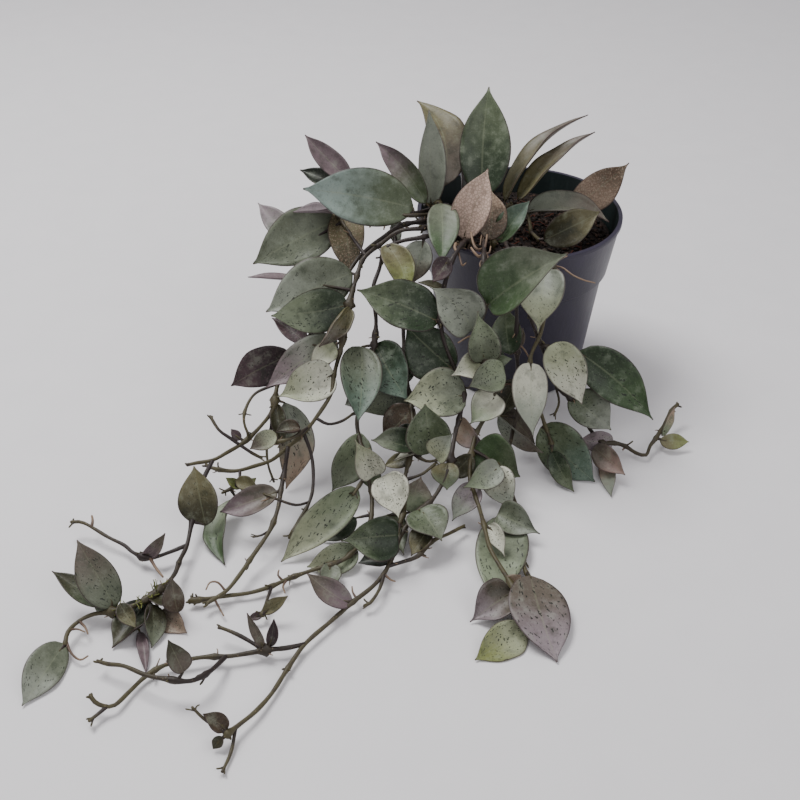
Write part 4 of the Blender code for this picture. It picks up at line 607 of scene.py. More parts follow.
# %% One leaf as a curved sheet
class Blade:
    """One leaf placed in the world: its frame, its petiole and the form of its blade."""

    def __init__(self, leaf, stems, shift=0.0, more_tilt=0.0, more_turn=0.0):
        base_line = sight_line(*leaf.base)
        tip_line = sight_line(*leaf.tip)
        spots = []
        for path, _ in stems:
            for start, stop in zip(path, path[1:]):
                for share in (0.0, 0.5, 1.0):
                    spot = start.lerp(stop, share)
                    if in_soil(spot):
                        continue
                    along = (spot - EYE).dot(base_line) / base_line.length_squared
                    spots.append(((EYE + base_line * along - spot).length, along, spot))
        _, along, self.joint = min(spots, key=lambda entry: entry[0])
        along = min(along - shift * MM, self.on_table(base_line))
        self.base = EYE + base_line * along
        flat = (Vector(leaf.tip) - Vector(leaf.base)).length / EYE_FOCAL * along
        tilt = math.radians(leaf.tilt + more_tilt)
        self.tip = EYE + tip_line * min(along - flat * math.tan(tilt), self.on_table(tip_line))
        self.run = self.tip - self.base
        self.length = self.run.length
        self.run.normalize()
        to_eye = (EYE - self.base).normalized()
        face = (to_eye - self.run * to_eye.dot(self.run)).normalized()
        side = self.run.cross(face)
        turn = math.radians(leaf.turn + more_turn)
        self.up = face * math.cos(turn) + side * math.sin(turn)
        self.side = self.run.cross(self.up)
        self.half_width = leaf.wide / 2 * MM
        self.fold = math.radians(leaf.fold)
        self.arch = math.radians(leaf.arch)
        self.bow = math.radians(leaf.bow + OWN_BOW * self.own(leaf, 1))
        self.twist = math.radians(OWN_TWIST * self.own(leaf, 2))
        self.lean = OWN_LEAN * self.own(leaf, 3)
        self.widest = WIDEST - HEART_WIDEST * leaf.heart
        self.pointed = POINTED + HEART_POINTED * leaf.heart

    @staticmethod
    def own(leaf, number):
        """Number from -1 to 1 that sets a leaf apart from the others."""
        return math.sin(leaf.base[0] * OWN_MIX[0] + leaf.tip[1] * (OWN_MIX[1] + number))

    @staticmethod
    def on_table(line):
        """How far along a line of sight the table is, less the room that a leaf needs."""
        return (TABLE_CLEAR * 2 * MM - EYE.z) / line.z

    def midrib(self, s):
        """Point of the arched and bowed midrib at a share s of its length."""
        radius = self.length / (2 * math.sin(self.arch / 2))
        angle = self.arch * (s - 0.5)
        forward = self.length / 2 + radius * math.sin(angle)
        rise = radius * (math.cos(angle) - math.cos(self.arch / 2))
        aside = self.length * math.tan(self.bow / 4) * 2 * s * (1 - s)
        return self.base + self.run * forward + self.up * rise + self.side * aside

    def point(self, s, u):
        """Point of the blade at s along its length and u from edge (-1) to edge (1)."""
        outline = BLADE_END
        if 0 < s < 1:
            power = ROUND + self.pointed * s ** 3
            outline = max(outline, math.sin(math.pi * s ** self.widest) ** power)
        reach = self.half_width * outline * (1 + math.copysign(self.lean, u))
        bend = 2 * self.fold * abs(u)
        across = reach * math.copysign(math.sin(bend), u) / (2 * self.fold)
        rise = reach * (1 - math.cos(bend)) / (2 * self.fold)
        angle = self.twist * (s - 0.5)
        side = self.side * math.cos(angle) + self.up * math.sin(angle)
        up = self.up * math.cos(angle) - self.side * math.sin(angle)
        angle = self.arch * (s - 0.5)
        lift = up * math.cos(angle) + self.run * math.sin(angle)
        spot = self.midrib(s) + side * across + lift * rise
        spot.z = max(spot.z, TABLE_CLEAR * MM)
        return spot

    def stalk(self):
        """Bends of the leaf stalk, from the stem's middle to the blade, and where it ends."""
        far = (self.base - self.joint).length
        if far < STALK_LEAST * MM:
            share = STALK_LEAST * MM / self.length
            return [self.joint, self.midrib(share)], share
        return [self.joint, self.base], 0.0

    def sheets(self):
        """Two coarse layers, a little outside the blade's faces, to test what it crosses."""
        shares = np.linspace(TESTED_FROM, 1, TESTED_CELLS + 1).tolist()
        rows = [[self.point(s, u) for u in (-1, 0, 1)] for s in shares]
        corners, faces = [], []
        for sign in (1, -1):
            offset = self.up * (sign * (BLADE_THICK / 2 + CLEAR) * MM)
            first = len(corners)
            corners += [spot + offset for row in rows for spot in row]
            for i in range(TESTED_CELLS):
                for j in range(2):
                    at = first + 3 * i + j
                    faces += [(at, at + 1, at + 4), (at, at + 4, at + 3)]
        return corners, faces


print("each blade is tested as", 8 * TESTED_CELLS, "triangles")

# %% [markdown]
# Leaves push each other aside as they grow. Starting with those nearest the eye, each leaf
# tries small shifts, tilts and turns until it crosses nothing that is already there. The
# solid model was made by the same search, so each leaf here lies where its solid lies.

# %% Room for every leaf
def tube_faces(path, radii, more):
    """Open tube round a path, wider than it by `more` in mm, for the same tests."""
    corners, faces = [], []
    for i, (point, radius) in enumerate(zip(path, radii)):
        ahead = path[min(i + 1, len(path) - 1)] - path[max(i - 1, 0)]
        across = ahead.orthogonal().normalized()
        upward = ahead.cross(across).normalized()
        for k in range(TUBE_SIDES):
            angle = math.tau * k / TUBE_SIDES
            corners.append(point + (across * math.cos(angle) + upward * math.sin(angle))
                           * (radius + more * MM))
    for i in range(len(path) - 1):
        for k in range(TUBE_SIDES):
            a, b = TUBE_SIDES * i + k, TUBE_SIDES * i + (k + 1) % TUBE_SIDES
            faces += [(a, b, b + TUBE_SIDES), (a, b + TUBE_SIDES, a + TUBE_SIDES)]
    return corners, faces


def tree_of(corners, faces):
    """Search tree that tells quickly which faces cross."""
    return BVHTree.FromPolygons([tuple(spot) for spot in corners], faces)


def moves():
    """Ways to bend a leaf clear, the smallest first."""
    tries = itertools.product(SHIFTS, TILTS, TURNS)
    return sorted(tries, key=lambda move: sum(abs(by) / step for by, step in zip(move, STEPS)))


def turned_faces(profile):
    """Surface turned round +Z from a profile in mm, for the same tests."""
    corners, faces = [], []
    for k in range(TURN_STEPS):
        angle = math.tau * k / TURN_STEPS
        corners += [(x * MM * math.cos(angle), x * MM * math.sin(angle), z * MM)
                    for x, z in profile]
    count = len(profile)
    for k in range(TURN_STEPS):
        for i in range(count - 1):
            a = k * count + i
            b = (k + 1) % TURN_STEPS * count + i
            faces += [(a, b, b + 1), (a, b + 1, a + 1)]
    return corners, faces


def crossings(name, sheet, stalk, solid, placed):
    """How many other things a leaf's blade and stalk would touch or nearly touch."""
    foreign = [tree for owner, tree in solid if owner != name]
    foreign += [tree for owner, *trees in placed if owner != name for tree in trees]
    own_blades = [blade for owner, blade, _ in placed if owner == name]
    count = sum(bool(sheet.overlap(tree)) for tree in foreign + own_blades)
    return count + sum(bool(stalk.overlap(tree)) for tree in foreign)


def place_leaves():
    """Bend each leaf clear of the pot, the soil, the stems and the leaves nearer the eye."""
    stems = {spray.name: stem_paths(spray) for spray in SPRAYS}
    part_stems(stems)
    solid = [("pot", tree_of(*turned_faces(POT_PROFILE))),
             ("soil", tree_of(*turned_faces(SOIL_PROFILE)))]
    for name, paths in stems.items():
        solid += [(name, tree_of(*tube_faces(path, radii, CLEAR))) for path, radii in paths]
    waiting = []
    for spray in SPRAYS:
        for number, leaf in enumerate(spray.leaves):
            first = Blade(leaf, stems[spray.name])
            waiting.append(((first.midrib(0.5) - EYE).length, spray.name, number, leaf))
    placed = []
    blades = {spray.name: [None] * len(spray.leaves) for spray in SPRAYS}
    for _, name, number, leaf in sorted(waiting):
        fewest = math.inf
        for move in moves():
            blade = Blade(leaf, stems[name], *move)
            sheet = tree_of(*blade.sheets())
            path, _ = blade.stalk()
            stalk = tree_of(*tube_faces(path, [STALK_RADIUS * MM] * len(path), CLEAR))
            crossed = crossings(name, sheet, stalk, solid, placed)
            if crossed < fewest:
                fewest = crossed
                best = (blade, sheet, stalk)
            if crossed == 0:
                break
        if fewest:
            raise ValueError(f"the leaf at {leaf.base} of {name} touches something")
        blades[name][number] = best[0]
        placed.append((name, *best[1:]))
    return stems, blades


stems, blades = place_leaves()
print("placed", sum(len(kept) for kept in blades.values()), "leaves on",
      sum(len(paths) for paths in stems.values()), "stems")

# %% [markdown]
# Materials are built from shader nodes. Adding nodes one by one hides the idea behind a
# heap of links, so we wrap a socket in a small class and write sums as Python expressions:
# each plus or times adds a Math node. Everything that is not a sum, such as a noise or a
# colour mix, goes through one method, and the short ones after it only name common uses.

# %% Shader sums in Python
class Wire:
    """A shader socket that can be used in sums."""

    def __init__(self, tree, socket=None):
        self.tree = tree
        self.socket = socket

    def add(self, kind, settings, sockets, output=0):
        """Add a node, set it up, feed its sockets and return one of its outputs."""
        node = self.tree.nodes.new(kind)
        for name, value in settings.items():
            setattr(node, name, value)
        for name, value in sockets.items():
            if isinstance(value, Wire):
                self.tree.links.new(value.socket, node.inputs[name])
            else:
                node.inputs[name].default_value = value
        return Wire(self.tree, node.outputs[output])

    def sum(self, operation, first, second):
        """Put two values through a Math node."""
        return self.add("ShaderNodeMath", {"operation": operation}, {0: first, 1: second})

    def __add__(self, other):
        return self.sum("ADD", self, other)

    def __radd__(self, other):
        return self.sum("ADD", other, self)

    def __sub__(self, other):
        return self.sum("SUBTRACT", self, other)

    def __rsub__(self, other):
        return self.sum("SUBTRACT", other, self)

    def __mul__(self, other):
        return self.sum("MULTIPLY", self, other)

    def __rmul__(self, other):
        return self.sum("MULTIPLY", other, self)

    def __abs__(self):
        return self.sum("ABSOLUTE", self, 0.0)

    def steps(self, low, high):
        """Rise smoothly from 0 at low to 1 at high."""
        return self.add("ShaderNodeMapRange", {"interpolation_type": "SMOOTHSTEP"},
                        {0: self, 1: low, 2: high, 3: 0.0, 4: 1.0})

    def blend(self, first, second):
        """Go from one colour to another as this value goes from 0 to 1."""
        return self.add("ShaderNodeMix", {"data_type": "RGBA", "clamp_factor": True},
                        {0: self, 6: first, 7: second}, 2)

    def grain(self, place, scale, detail=4.0, rough=0.55):
        """Cloudy noise at a number of cells in a metre."""
        return self.add("ShaderNodeTexNoise", {}, {"Vector": place, "Scale": scale,
                                                   "Detail": detail, "Roughness": rough})

    def cells(self, place, scale, feature="F1"):
        """Distance to the nearest of scattered points, or to the edge between two of them."""
        return self.add("ShaderNodeTexVoronoi", {"feature": feature},
                        {"Vector": place, "Scale": scale})

    def stored(self, name, output="Fac"):
        """Number, or with output Color a colour, that each point of the mesh carries."""
        return self.add("ShaderNodeAttribute", {"attribute_name": name}, {}, output)

    def vector(self, x, y, z=0.0):
        """Vector of three numbers."""
        return self.add("ShaderNodeCombineXYZ", {}, {"X": x, "Y": y, "Z": z})

    def bump(self, strength, depth):
        """Surface direction for this value taken as a height, at a depth in mm."""
        return self.add("ShaderNodeBump", {}, {"Strength": strength, "Distance": depth * MM,
                                               "Height": self})


print("sums such as 1 - mask now build shader nodes")

# %% [markdown]
# Screen colours are written as they look, from 0 to 255, while light adds up linearly. One
# function turns the first into the second. A second one starts a material and hands back
# the wire to build on and the place on the object, and a third plugs the results in.

# %% Colours and a fresh material
def paint(red, green, blue):
    """Linear colour from one as it looks on screen."""
    values = [v / 255 for v in (red, green, blue)]
    return (*[v / 12.92 if v <= 0.04045 else ((v + 0.055) / 1.055) ** 2.4 for v in values], 1.0)


def start_material(name, gleam):
    """New material: its wire, its surface node and the place in the object's own space."""
    made = bpy.data.materials.new(name)
    made.use_nodes = True
    surface = made.node_tree.nodes["Principled BSDF"]
    surface.inputs["Specular IOR Level"].default_value = gleam
    wire = Wire(made.node_tree)
    place = wire.add("ShaderNodeTexCoord", {}, {}, "Object")
    return made, wire, surface, place


def plug(surface, wires):
    """Feed wires into the surface, by socket name."""
    for name, wire in wires.items():
        wire.tree.links.new(wire.socket, surface.inputs[name])


print("white on screen is", paint(255, 255, 255)[0], "and middle grey is",
      round(paint(128, 128, 128)[0], 3))

# %% [markdown]
# Leaves of this plant are never one green. Young ones are sage, old ones olive or brown,
# undersides are mauve where the sun has tanned them, and many are two of these at once. We
# name the paints, and give each leaf one for its base and one for its tip. The word dry
# marks a dead leaf, which has a brown net over it.

# %% Paints and which leaf wears them
# The near-black green paint is painted shade, not a leaf colour: it goes on leaves that lie deep
# in the heap's shade or behind other leaves.
PAINTS = {
    "sage": (98, 104, 86), "pale_sage": (126, 136, 110), "moss": (82, 92, 68),
    "green": (60, 80, 48), "dark_green": (40, 54, 34), "night": (18, 25, 12),
    "olive": (104, 99, 70), "dark_olive": (56, 53, 34), "bluish": (84, 102, 88),
    "silver": (126, 131, 118), "cream": (156, 160, 132), "white": (194, 194, 176),
    "pearl": (134, 150, 142), "blush": (208, 182, 166),
    "lavender": (130, 118, 122), "mauve": (108, 92, 96), "plum": (72, 54, 58),
    "dark_plum": (48, 34, 38), "taupe": (93, 84, 74), "brown": (68, 54, 40),
    "tan": (152, 132, 114), "rose_tan": (134, 111, 102), "lime": (116, 122, 70),
}
LOOKS = {
    "crown_back_shoot": "dark_green>moss, night, olive>taupe, olive>taupe",
    "crown_left_shoot": "taupe>olive, silver, moss>mauve, sage>green",
    "crown_front_shoot": "blush>blush dry, taupe>tan dry, green>bluish",
    "crown_right_shoot": "silver>taupe, dark_olive>olive",
    "crown_far_shoot": "tan>brown dry",
    "left_high_vine": "moss>pearl, mauve, night",
    "left_long_vine":
        "sage, olive>dark_olive dry, lavender, silver>lavender, sage>silver, mauve, "
        "dark_green>pale_sage, olive>taupe, plum, silver>mauve, cream>white, white>cream, "
        "brown>dark_olive, taupe>mauve, pale_sage>green, olive, cream>taupe, lime, green>lime",
    "left_floor_vine":
        "dark_plum>plum, plum, dark_olive>olive, sage>taupe, moss>dark_olive, silver>sage, "
        "night>dark_olive, dark_olive, dark_olive>sage, mauve, taupe>tan, sage>silver, "
        "mauve>taupe, brown>taupe, dark_olive>olive, silver>tan, dark_olive",
    "left_inner_vine":
        "olive>lime, sage>bluish, dark_green>bluish, silver, pale_sage>sage, white>cream, "
        "pale_sage>cream, dark_green>night, pale_sage>cream, sage, olive, plum, silver>taupe, "
        "dark_green>moss",
    "middle_left_vine":
        "silver, sage, brown, dark_green>sage, white, dark_olive>olive, white, "
        "pale_sage>taupe, dark_green>moss, pale_sage>sage, night>dark_green, night",
    "front_long_vine":
        "dark_green>moss, dark_green, dark_olive, dark_plum>plum, sage>cream, moss, "
        "cream>silver, olive>moss, moss>sage, dark_olive>olive, night, mauve>taupe, taupe, "
        "dark_plum, taupe>dark_olive, brown, dark_olive",
    "front_middle_vine":
        "green>sage, silver, sage>pale_sage, cream>white, moss, pale_sage>sage, "
        "white>pale_sage, tan>lavender, green>moss, silver>pale_sage, white>silver, "
        "lavender>silver, white, taupe>lavender, brown, tan>taupe, tan, cream>lime, "
        "dark_green, dark_olive",
    "front_right_vine":
        "dark_green>moss, taupe, silver>taupe, taupe, sage>pale_sage, sage>silver, "
        "taupe>lavender, dark_olive",
    "right_vine": "silver>cream, white>silver, moss>bluish, dark_green>moss",
    "right_low_vine":
        "cream>white, dark_green>green, sage>brown, moss>silver, lavender>mauve, "
        "taupe>rose_tan, tan>silver, olive>lime, pale_sage>tan",
}


def looks_of(name):
    """Base paint, tip paint and whether it is dry, for each leaf of a shoot or vine."""
    looks = []
    for words in LOOKS[name].split(","):
        colours, *rest = words.split()
        first, _, last = colours.partition(">")
        looks.append((paint(*PAINTS[first]), paint(*PAINTS[last or first]), bool(rest)))
    return looks


for spray in SPRAYS:
    if len(looks_of(spray.name)) != len(spray.leaves):
        print("looks to mend:", spray.name, len(looks_of(spray.name)), len(spray.leaves))
print("paints:", len(PAINTS))

# %% [markdown]
# A finished leaf needs more shape than its plain solid. Its blade is a closed sheet with a
# groove along the midrib on top and a rib under it, thinner towards the edge, with a soft
# wave in the margin. All of it is worked out on one grid of points with NumPy, which is
# both quicker and easier to read than moving vertices one by one.

# %% The form of a blade
# CELL_POWER draws the columns of points a little towards the edge. WAVE is the swing of
# the margin in mm on a blade at least FULL_WAVE mm from midrib to edge, and WAVES is the
# range of how many waves fit along it. TIP_END is the width left at the tip, as a share of
# the widest. NEAR_END keeps the outline's power off its two ends.
LONG_CELLS = 20
WIDE_CELLS = 8
CELL_POWER = 0.9
WAVE = 1.0
FULL_WAVE = 13.0
WAVES = (0.8, 2.6)
TIP_END = 0.02
NEAR_END = 1e-6


def outline(blade, s):
    """Half width of a blade at a share s of its length, as a share of its widest."""
    full = np.sin(np.pi * s ** blade.widest) ** (ROUND + blade.pointed * s ** 3)
    return np.maximum(TIP_END + (BLADE_END - TIP_END) * (1 - s) ** 2, full)


def blade_sheet(blade, draw):
    """Grid of points of the blade's middle sheet, and how far it is to the midrib in mm."""
    s = np.linspace(0, 1, LONG_CELLS + 1)[:, None]
    u = np.linspace(-1, 1, WIDE_CELLS + 1)[None, :]
    u = np.sign(u) * np.abs(u) ** CELL_POWER
    run, up, side = (np.array(v) for v in (blade.run, blade.up, blade.side))
    lean = 1 + np.sign(u) * blade.lean
    reach = blade.half_width * outline(blade, np.clip(s, NEAR_END, 1 - NEAR_END)) * lean
    bend = 2 * blade.fold * np.abs(u)
    across = reach * np.sign(u) * np.sin(bend) / (2 * blade.fold)
    rise = reach * (1 - np.cos(bend)) / (2 * blade.fold)
    waves = draw.uniform(*WAVES)
    phase = draw.uniform(0, math.tau, 2)
    phases = np.where(u < 0, phase[0], phase[1])
    swing = WAVE * MM * min(1.0, blade.half_width / (FULL_WAVE * MM))
    rise = rise + swing * np.sin(math.tau * waves * s + phases) * u ** 2 * np.sin(np.pi * s)
    angle = blade.arch * (s - 0.5)
    radius = blade.length / (2 * math.sin(blade.arch / 2))
    forward = blade.length / 2 + radius * np.sin(angle)
    lift = radius * (np.cos(angle) - math.cos(blade.arch / 2))
    aside = blade.length * math.tan(blade.bow / 4) * 2 * s * (1 - s)
    roll = blade.twist * (s - 0.5)
    sideways = across * np.cos(roll) - rise * np.sin(roll) * np.cos(angle)
    upward = across * np.sin(roll) + rise * np.cos(roll) * np.cos(angle)
    points = (np.array(blade.base) + (forward + rise * np.sin(angle))[..., None] * run
              + (lift + upward)[..., None] * up + (aside + sideways)[..., None] * side)
    points[..., 2] = np.maximum(points[..., 2], TABLE_CLEAR * MM)
    return points, np.broadcast_to(reach * np.abs(u) / MM, points.shape[:2])


print("a blade has", LONG_CELLS * WIDE_CELLS * 2, "faces on its two sides")

# %% [markdown]
# Many small forms end up in one mesh, because a vine of a hundred objects is slow to handle.
# A heap collects them. Each point carries numbers that the material will read: how far
# along and across it is, whether it is on the underside, which paints it wears, and a
# number of its own so that no two leaves have the same flecks.

# %% A heap of forms that becomes one mesh
def linked(name, data):
    """Object made from a mesh, a lamp or a camera, put into the scene."""
    thing = bpy.data.objects.new(name, data)
    bpy.context.scene.collection.objects.link(thing)
    return thing


class Heap:
    """Points, faces and per-point numbers that end up in one mesh."""

    NUMBERS = ("along", "across", "under", "dry", "own", "kind")

    def __init__(self):
        self.points, self.faces, self.slots = [], [], []
        self.numbers = {name: [] for name in self.NUMBERS}
        self.near, self.far = [], []
        self.count = 0

    def add(self, points, faces, slot, near, far, **numbers):
        """Take in one form, its material slot, its two colours and its numbers."""
        count = len(points)
        self.points.append(np.asarray(points, dtype=float).reshape(-1, 3))
        self.faces += [tuple(corner + self.count for corner in face) for face in faces]
        self.slots += [slot] * len(faces)
        for name in self.NUMBERS:
            self.numbers[name].append(np.zeros(count) + numbers.get(name, 0.0))
        self.near.append(np.tile(near, (count, 1)))
        self.far.append(np.tile(far, (count, 1)))
        self.count += count

    def object(self, name, materials):
        """One smooth-shaded object of everything in the heap."""
        mesh = bpy.data.meshes.new(name)
        mesh.from_pydata(np.concatenate(self.points).tolist(), [], self.faces)
        mesh.polygons.foreach_set("material_index", self.slots)
        mesh.polygons.foreach_set("use_smooth", [True] * len(self.faces))
        for label, values in self.numbers.items():
            store = mesh.attributes.new(label, "FLOAT", "POINT")
            store.data.foreach_set("value", np.concatenate(values))
        for label, values in (("near", self.near), ("far", self.far)):
            store = mesh.attributes.new(label, "FLOAT_COLOR", "POINT")
            store.data.foreach_set("color", np.concatenate(values).ravel())
        for made in materials:
            mesh.materials.append(made)
        mesh.update()
        return linked(name, mesh)


print("each point carries", len(Heap.NUMBERS), "numbers and 2 colours")

# %% [markdown]
# The sheet of a blade gets two skins and a strip round its edge. The top skin dips over
# the midrib and the under skin bulges there, which is the vein that shows in low light.

# %% Leaves as meshes
# EDGE_THIN and TIP_THIN are the shares of the thickness lost at the edge and at the tip.
# RIB is how far the rib stands out and RIB_WIDTH how wide it is, both in mm, and GROOVE is
# the depth of the groove over it, as a share of RIB. An underside is at least LEAF_LOW mm
# above the table, and a leaf that lies there is at least LEAF_LEAST mm thick. A length
# under NO_LENGTH counts as none.
EDGE_THIN = 0.5
TIP_THIN = 0.4
RIB = 0.35
RIB_WIDTH = 0.8
GROOVE = 0.7
LEAF_LOW = 0.2
LEAF_LEAST = 0.3
NO_LENGTH = 1e-12


def grid_faces(rows, columns, first=0, flip=False):
    """Four-sided faces of a grid of points."""
    faces = []
    for i in range(rows - 1):
        for j in range(columns - 1):
            a = first + i * columns + j
            face = (a, a + 1, a + columns + 1, a + columns)
            faces.append(face[::-1] if flip else face)
    return faces


def rim_faces(rows, columns):
    """Strip of faces that joins the edges of two skins of the same grid."""
    edge = (list(range(columns)) + [i * columns + columns - 1 for i in range(1, rows)]
            + [(rows - 1) * columns + j for j in range(columns - 2, -1, -1)]
            + [i * columns for i in range(rows - 2, 0, -1)])
    size = rows * columns
    return [(b, a, a + size, b + size) for a, b in zip(edge, edge[1:] + edge[:1])]


def add_blade(heap, blade, look, draw):
    """One closed leaf blade: top skin, under skin and the strip round its edge."""
    near, far, dry = look
    points, from_rib = blade_sheet(blade, draw)
    normal = np.cross(np.gradient(points, axis=1), np.gradient(points, axis=0))
    normal /= np.maximum(np.linalg.norm(normal, axis=2, keepdims=True), NO_LENGTH)
    normal *= np.sign(np.sum(normal * np.array(blade.up)))
    rows, columns = points.shape[:2]
    s = np.linspace(0, 1, rows)[:, None] + np.zeros((1, columns))
    u = np.linspace(-1, 1, columns)[None, :] + np.zeros((rows, 1))
    half = BLADE_THICK / 2 * MM * (1 - EDGE_THIN * np.abs(u) ** 3) * (1 - TIP_THIN * s)
    rib = RIB * MM * np.exp(-(from_rib / RIB_WIDTH) ** 2) * np.sin(np.pi * s) ** 0.5
    top = points + normal * (half - GROOVE * rib)[..., None]
    low = points - normal * (half + rib)[..., None]
    low[..., 2] = np.maximum(low[..., 2], LEAF_LOW * MM)
    top[..., 2] = np.maximum(top[..., 2], low[..., 2] + LEAF_LEAST * MM)
    size = rows * columns
    faces = grid_faces(rows, columns) + grid_faces(rows, columns, first=size, flip=True)
    faces += rim_faces(rows, columns)
    both = np.concatenate([top.reshape(-1, 3), low.reshape(-1, 3)])
    heap.add(both, faces, 0, near, far, along=np.tile(s.ravel(), 2),
             across=np.tile(u.ravel(), 2), under=np.repeat([0.0, 1.0], size),
             dry=float(dry), own=draw.uniform())


print("a blade mesh has", 2 * (LONG_CELLS + 1) * (WIDE_CELLS + 1), "points")

# %% [markdown]
# Stems, stalks and roots are all round rods along a curve, so one function makes them. It
# carries a ring of points along the curve without letting it twist, and closes both ends
# with a blunt point.

# %% Rods for stems, stalks and roots
# FOOT_OUT and END_OUT are how far the two ends stick out, as shares of the radius there.
# ROD_LOW is the least height of a rod's skin above the table in mm.
FOOT_OUT = 0.6
END_OUT = 0.8
ROD_LOW = 0.1


def resample(path, step):
    """Points of a smooth curve through a path, and the share of the path at each."""
    points = smooth_path([Vector(point) for point in path], step * MM)
    return np.array([tuple(point) for point in points]), np.linspace(0, 1, len(points))


def add_rod(heap, points, radii, sides, skin, draw, slot=1):
    """Closed rod round a row of points, with a twist-free frame and blunt ends."""
    near, far, kind = skin
    points = np.asarray(points, dtype=float)
    ahead = np.gradient(points, axis=0)
    ahead /= np.maximum(np.linalg.norm(ahead, axis=1, keepdims=True), NO_LENGTH)
    across = np.array(Vector(ahead[0]).orthogonal().normalized())
    rings = []
    angles = np.arange(sides) * math.tau / sides
    for point, toward, radius in zip(points, ahead, radii):
        across = across - toward * across.dot(toward)
        across /= np.linalg.norm(across)
        upward = np.cross(toward, across)
        rings.append(point + radius * (np.cos(angles)[:, None] * across
                                       + np.sin(angles)[:, None] * upward))
    count = len(points)
    faces = [(i * sides + k, i * sides + (k + 1) % sides, (i + 1) * sides + (k + 1) % sides,
              (i + 1) * sides + k) for i in range(count - 1) for k in range(sides)]
    corners = np.concatenate(rings + [points[:1] - ahead[:1] * radii[0] * FOOT_OUT,
                                      points[-1:] + ahead[-1:] * radii[-1] * END_OUT])
    first, last = count * sides, count * sides + 1
    end = first - sides
    faces += [(first, (k + 1) % sides, k) for k in range(sides)]
    faces += [(last, end + k, end + (k + 1) % sides) for k in range(sides)]
    corners[:, 2] = np.maximum(corners[:, 2], ROD_LOW * MM)
    share = np.append(np.repeat(np.linspace(0, 1, count), sides), [0.0, 1.0])
    heap.add(corners, faces, slot, near, far, along=share, kind=kind, own=draw.uniform())


print("a rod's ends stick out by", FOOT_OUT, "and", END_OUT, "of its radius")

# %% [markdown]
# Along the joints, hoyas put out short roots that feel for something to hold. Most are
# stubs of a few millimetres, and a few curl into hooks. Where an old leaf fell, a blunt
# spur stays. We grow both from a seeded draw, so the plant is the same each time.

# %% Short roots and old spurs
# A skin is the colour at the foot, the colour at the end, and 0 for bark or 1 for a root.
# A twig has TWIG_STEPS runs, each of which sways by TWIG_SWAY of its bend, and stays
# TWIG_LOW mm above the table. Radii are in mm, from the foot to the end, and SPUR_FORM
# gives those of a spur as shares. No twig comes closer to the pot than RIM_ROOM mm.
# The stems' foot colour is partly painted shade: it is darkened so that stems look darkest near
# the crown, where the heap shades them.
STEM_SKIN_AND_SHADE = (paint(42, 33, 30), paint(76, 70, 46), 0)
STALK_SKIN = (paint(46, 36, 33), paint(76, 70, 46), 0)
ROOT_SKIN = (paint(86, 68, 56), paint(132, 110, 90), 1)
TWIG_STEPS = 5
TWIG_SWAY = 0.4
TWIG_LOW = 0.5
ROOT_BEND = 0.32
ROOT_RADII = (0.46, 0.22)
ROOT_SIDES = 5
SPUR_BEND = 0.12
SPUR_FORM = np.array([1.25, 1.0, 0.8, 0.75, 0.85, 0.6])
SPUR_SIDES = 7
RIM_ROOM = 1.0


def near_rim(points):
    """Whether a row of points comes near the pot's wall below its rim."""
    radius = np.hypot(points[:, 0], points[:, 1])
    return bool(np.any((radius < (RIM_RADIUS + RIM_ROOM) * MM)
                       & (points[:, 2] < (POT_HEIGHT + RIM_ROOM) * MM)))


def crooked(start, toward, length, bend, draw):
    """Row of points that sets off in a direction and wanders from it."""
    points = [np.array(start)]
    heading = np.array(toward) / np.linalg.norm(toward)
    turn = draw.normal(size=3) * bend
    for _ in range(TWIG_STEPS):
        heading = heading + turn + draw.normal(size=3) * bend * TWIG_SWAY
        heading /= np.linalg.norm(heading)
        points.append(points[-1] + heading * length * MM / TWIG_STEPS)
    points = np.array(points)
    points[:, 2] = np.maximum(points[:, 2], TWIG_LOW * MM)
    return points


def add_root(heap, start, toward, length, draw):
    """Short pale root that bends as it goes."""
    points = crooked(start, toward, length, ROOT_BEND, draw)
    if not near_rim(points):
        radii = np.linspace(*ROOT_RADII, len(points)) * MM
        add_rod(heap, points, radii, ROOT_SIDES, ROOT_SKIN, draw)


def add_spur(heap, start, toward, length, radius, draw):
    """Blunt stub that an old leaf left behind."""
    points = crooked(start, toward, length, SPUR_BEND, draw)
    if not near_rim(points):
        add_rod(heap, points, SPUR_FORM * radius, SPUR_SIDES, STEM_SKIN_AND_SHADE, draw)


print("a root stub is", 2 * ROOT_RADII[0], "mm thick where it starts")

# %% [markdown]
# A stem with one thickness looks like wire, so its radius swells at each joint where a leaf
# stands or stood, and wanders a little in between. Its end carries two bud spurs. Each leaf
# gets its stalk here too, which runs a little way into the blade so that no gap shows.

# %% Stems with their joints and stalks
# Lengths are in mm. STEM_SHARE thins the fine stem a little inside its plain solid, and
# RIPPLE is how much and how often its radius wanders. SPUR_FORWARD and BUD_OUT lean the
# spurs and the buds, and SPUR_THIN and BUD_THIN are their radii as shares of the stem's.
# Each pair of lengths is a range to draw from.
STEM_STEP = 2.2
STALK_STEP = 1.2
STEM_SHARE = 0.9
JOINT_SWELL = 0.5
JOINT_REACH = 2.0
RIPPLE = (0.07, 0.9)
STEM_SIDES = 10
SPUR_EVERY = 24
SPUR_LENGTHS = (2.6, 5.2)
SPUR_FORWARD = 0.9
SPUR_THIN = 0.6
BUD_LENGTHS = (2.5, 4.5)
BUD_PLANE = (0.3, 0.1, 1.0)
BUD_OUT = 0.7
BUD_THIN = 0.7
ROOT_LENGTHS = (2.5, 6.0)
ROOT_DROOP = (0, 0, 0.8)
STALK_ROOTS = (2.0, 4.5)
STALK_TAPER = (1.2, 0.75)
STALK_SIDES = 8
INTO_BLADE = 0.04


def swell(points, radii, joints):
    """Widen a rod near each of its joints."""
    wide = np.array(radii)
    for joint in joints:
        far = np.linalg.norm(points - np.array(joint), axis=1) / MM
        wide = wide * (1 + JOINT_SWELL * np.exp(-(far / JOINT_REACH) ** 2))
    return wide


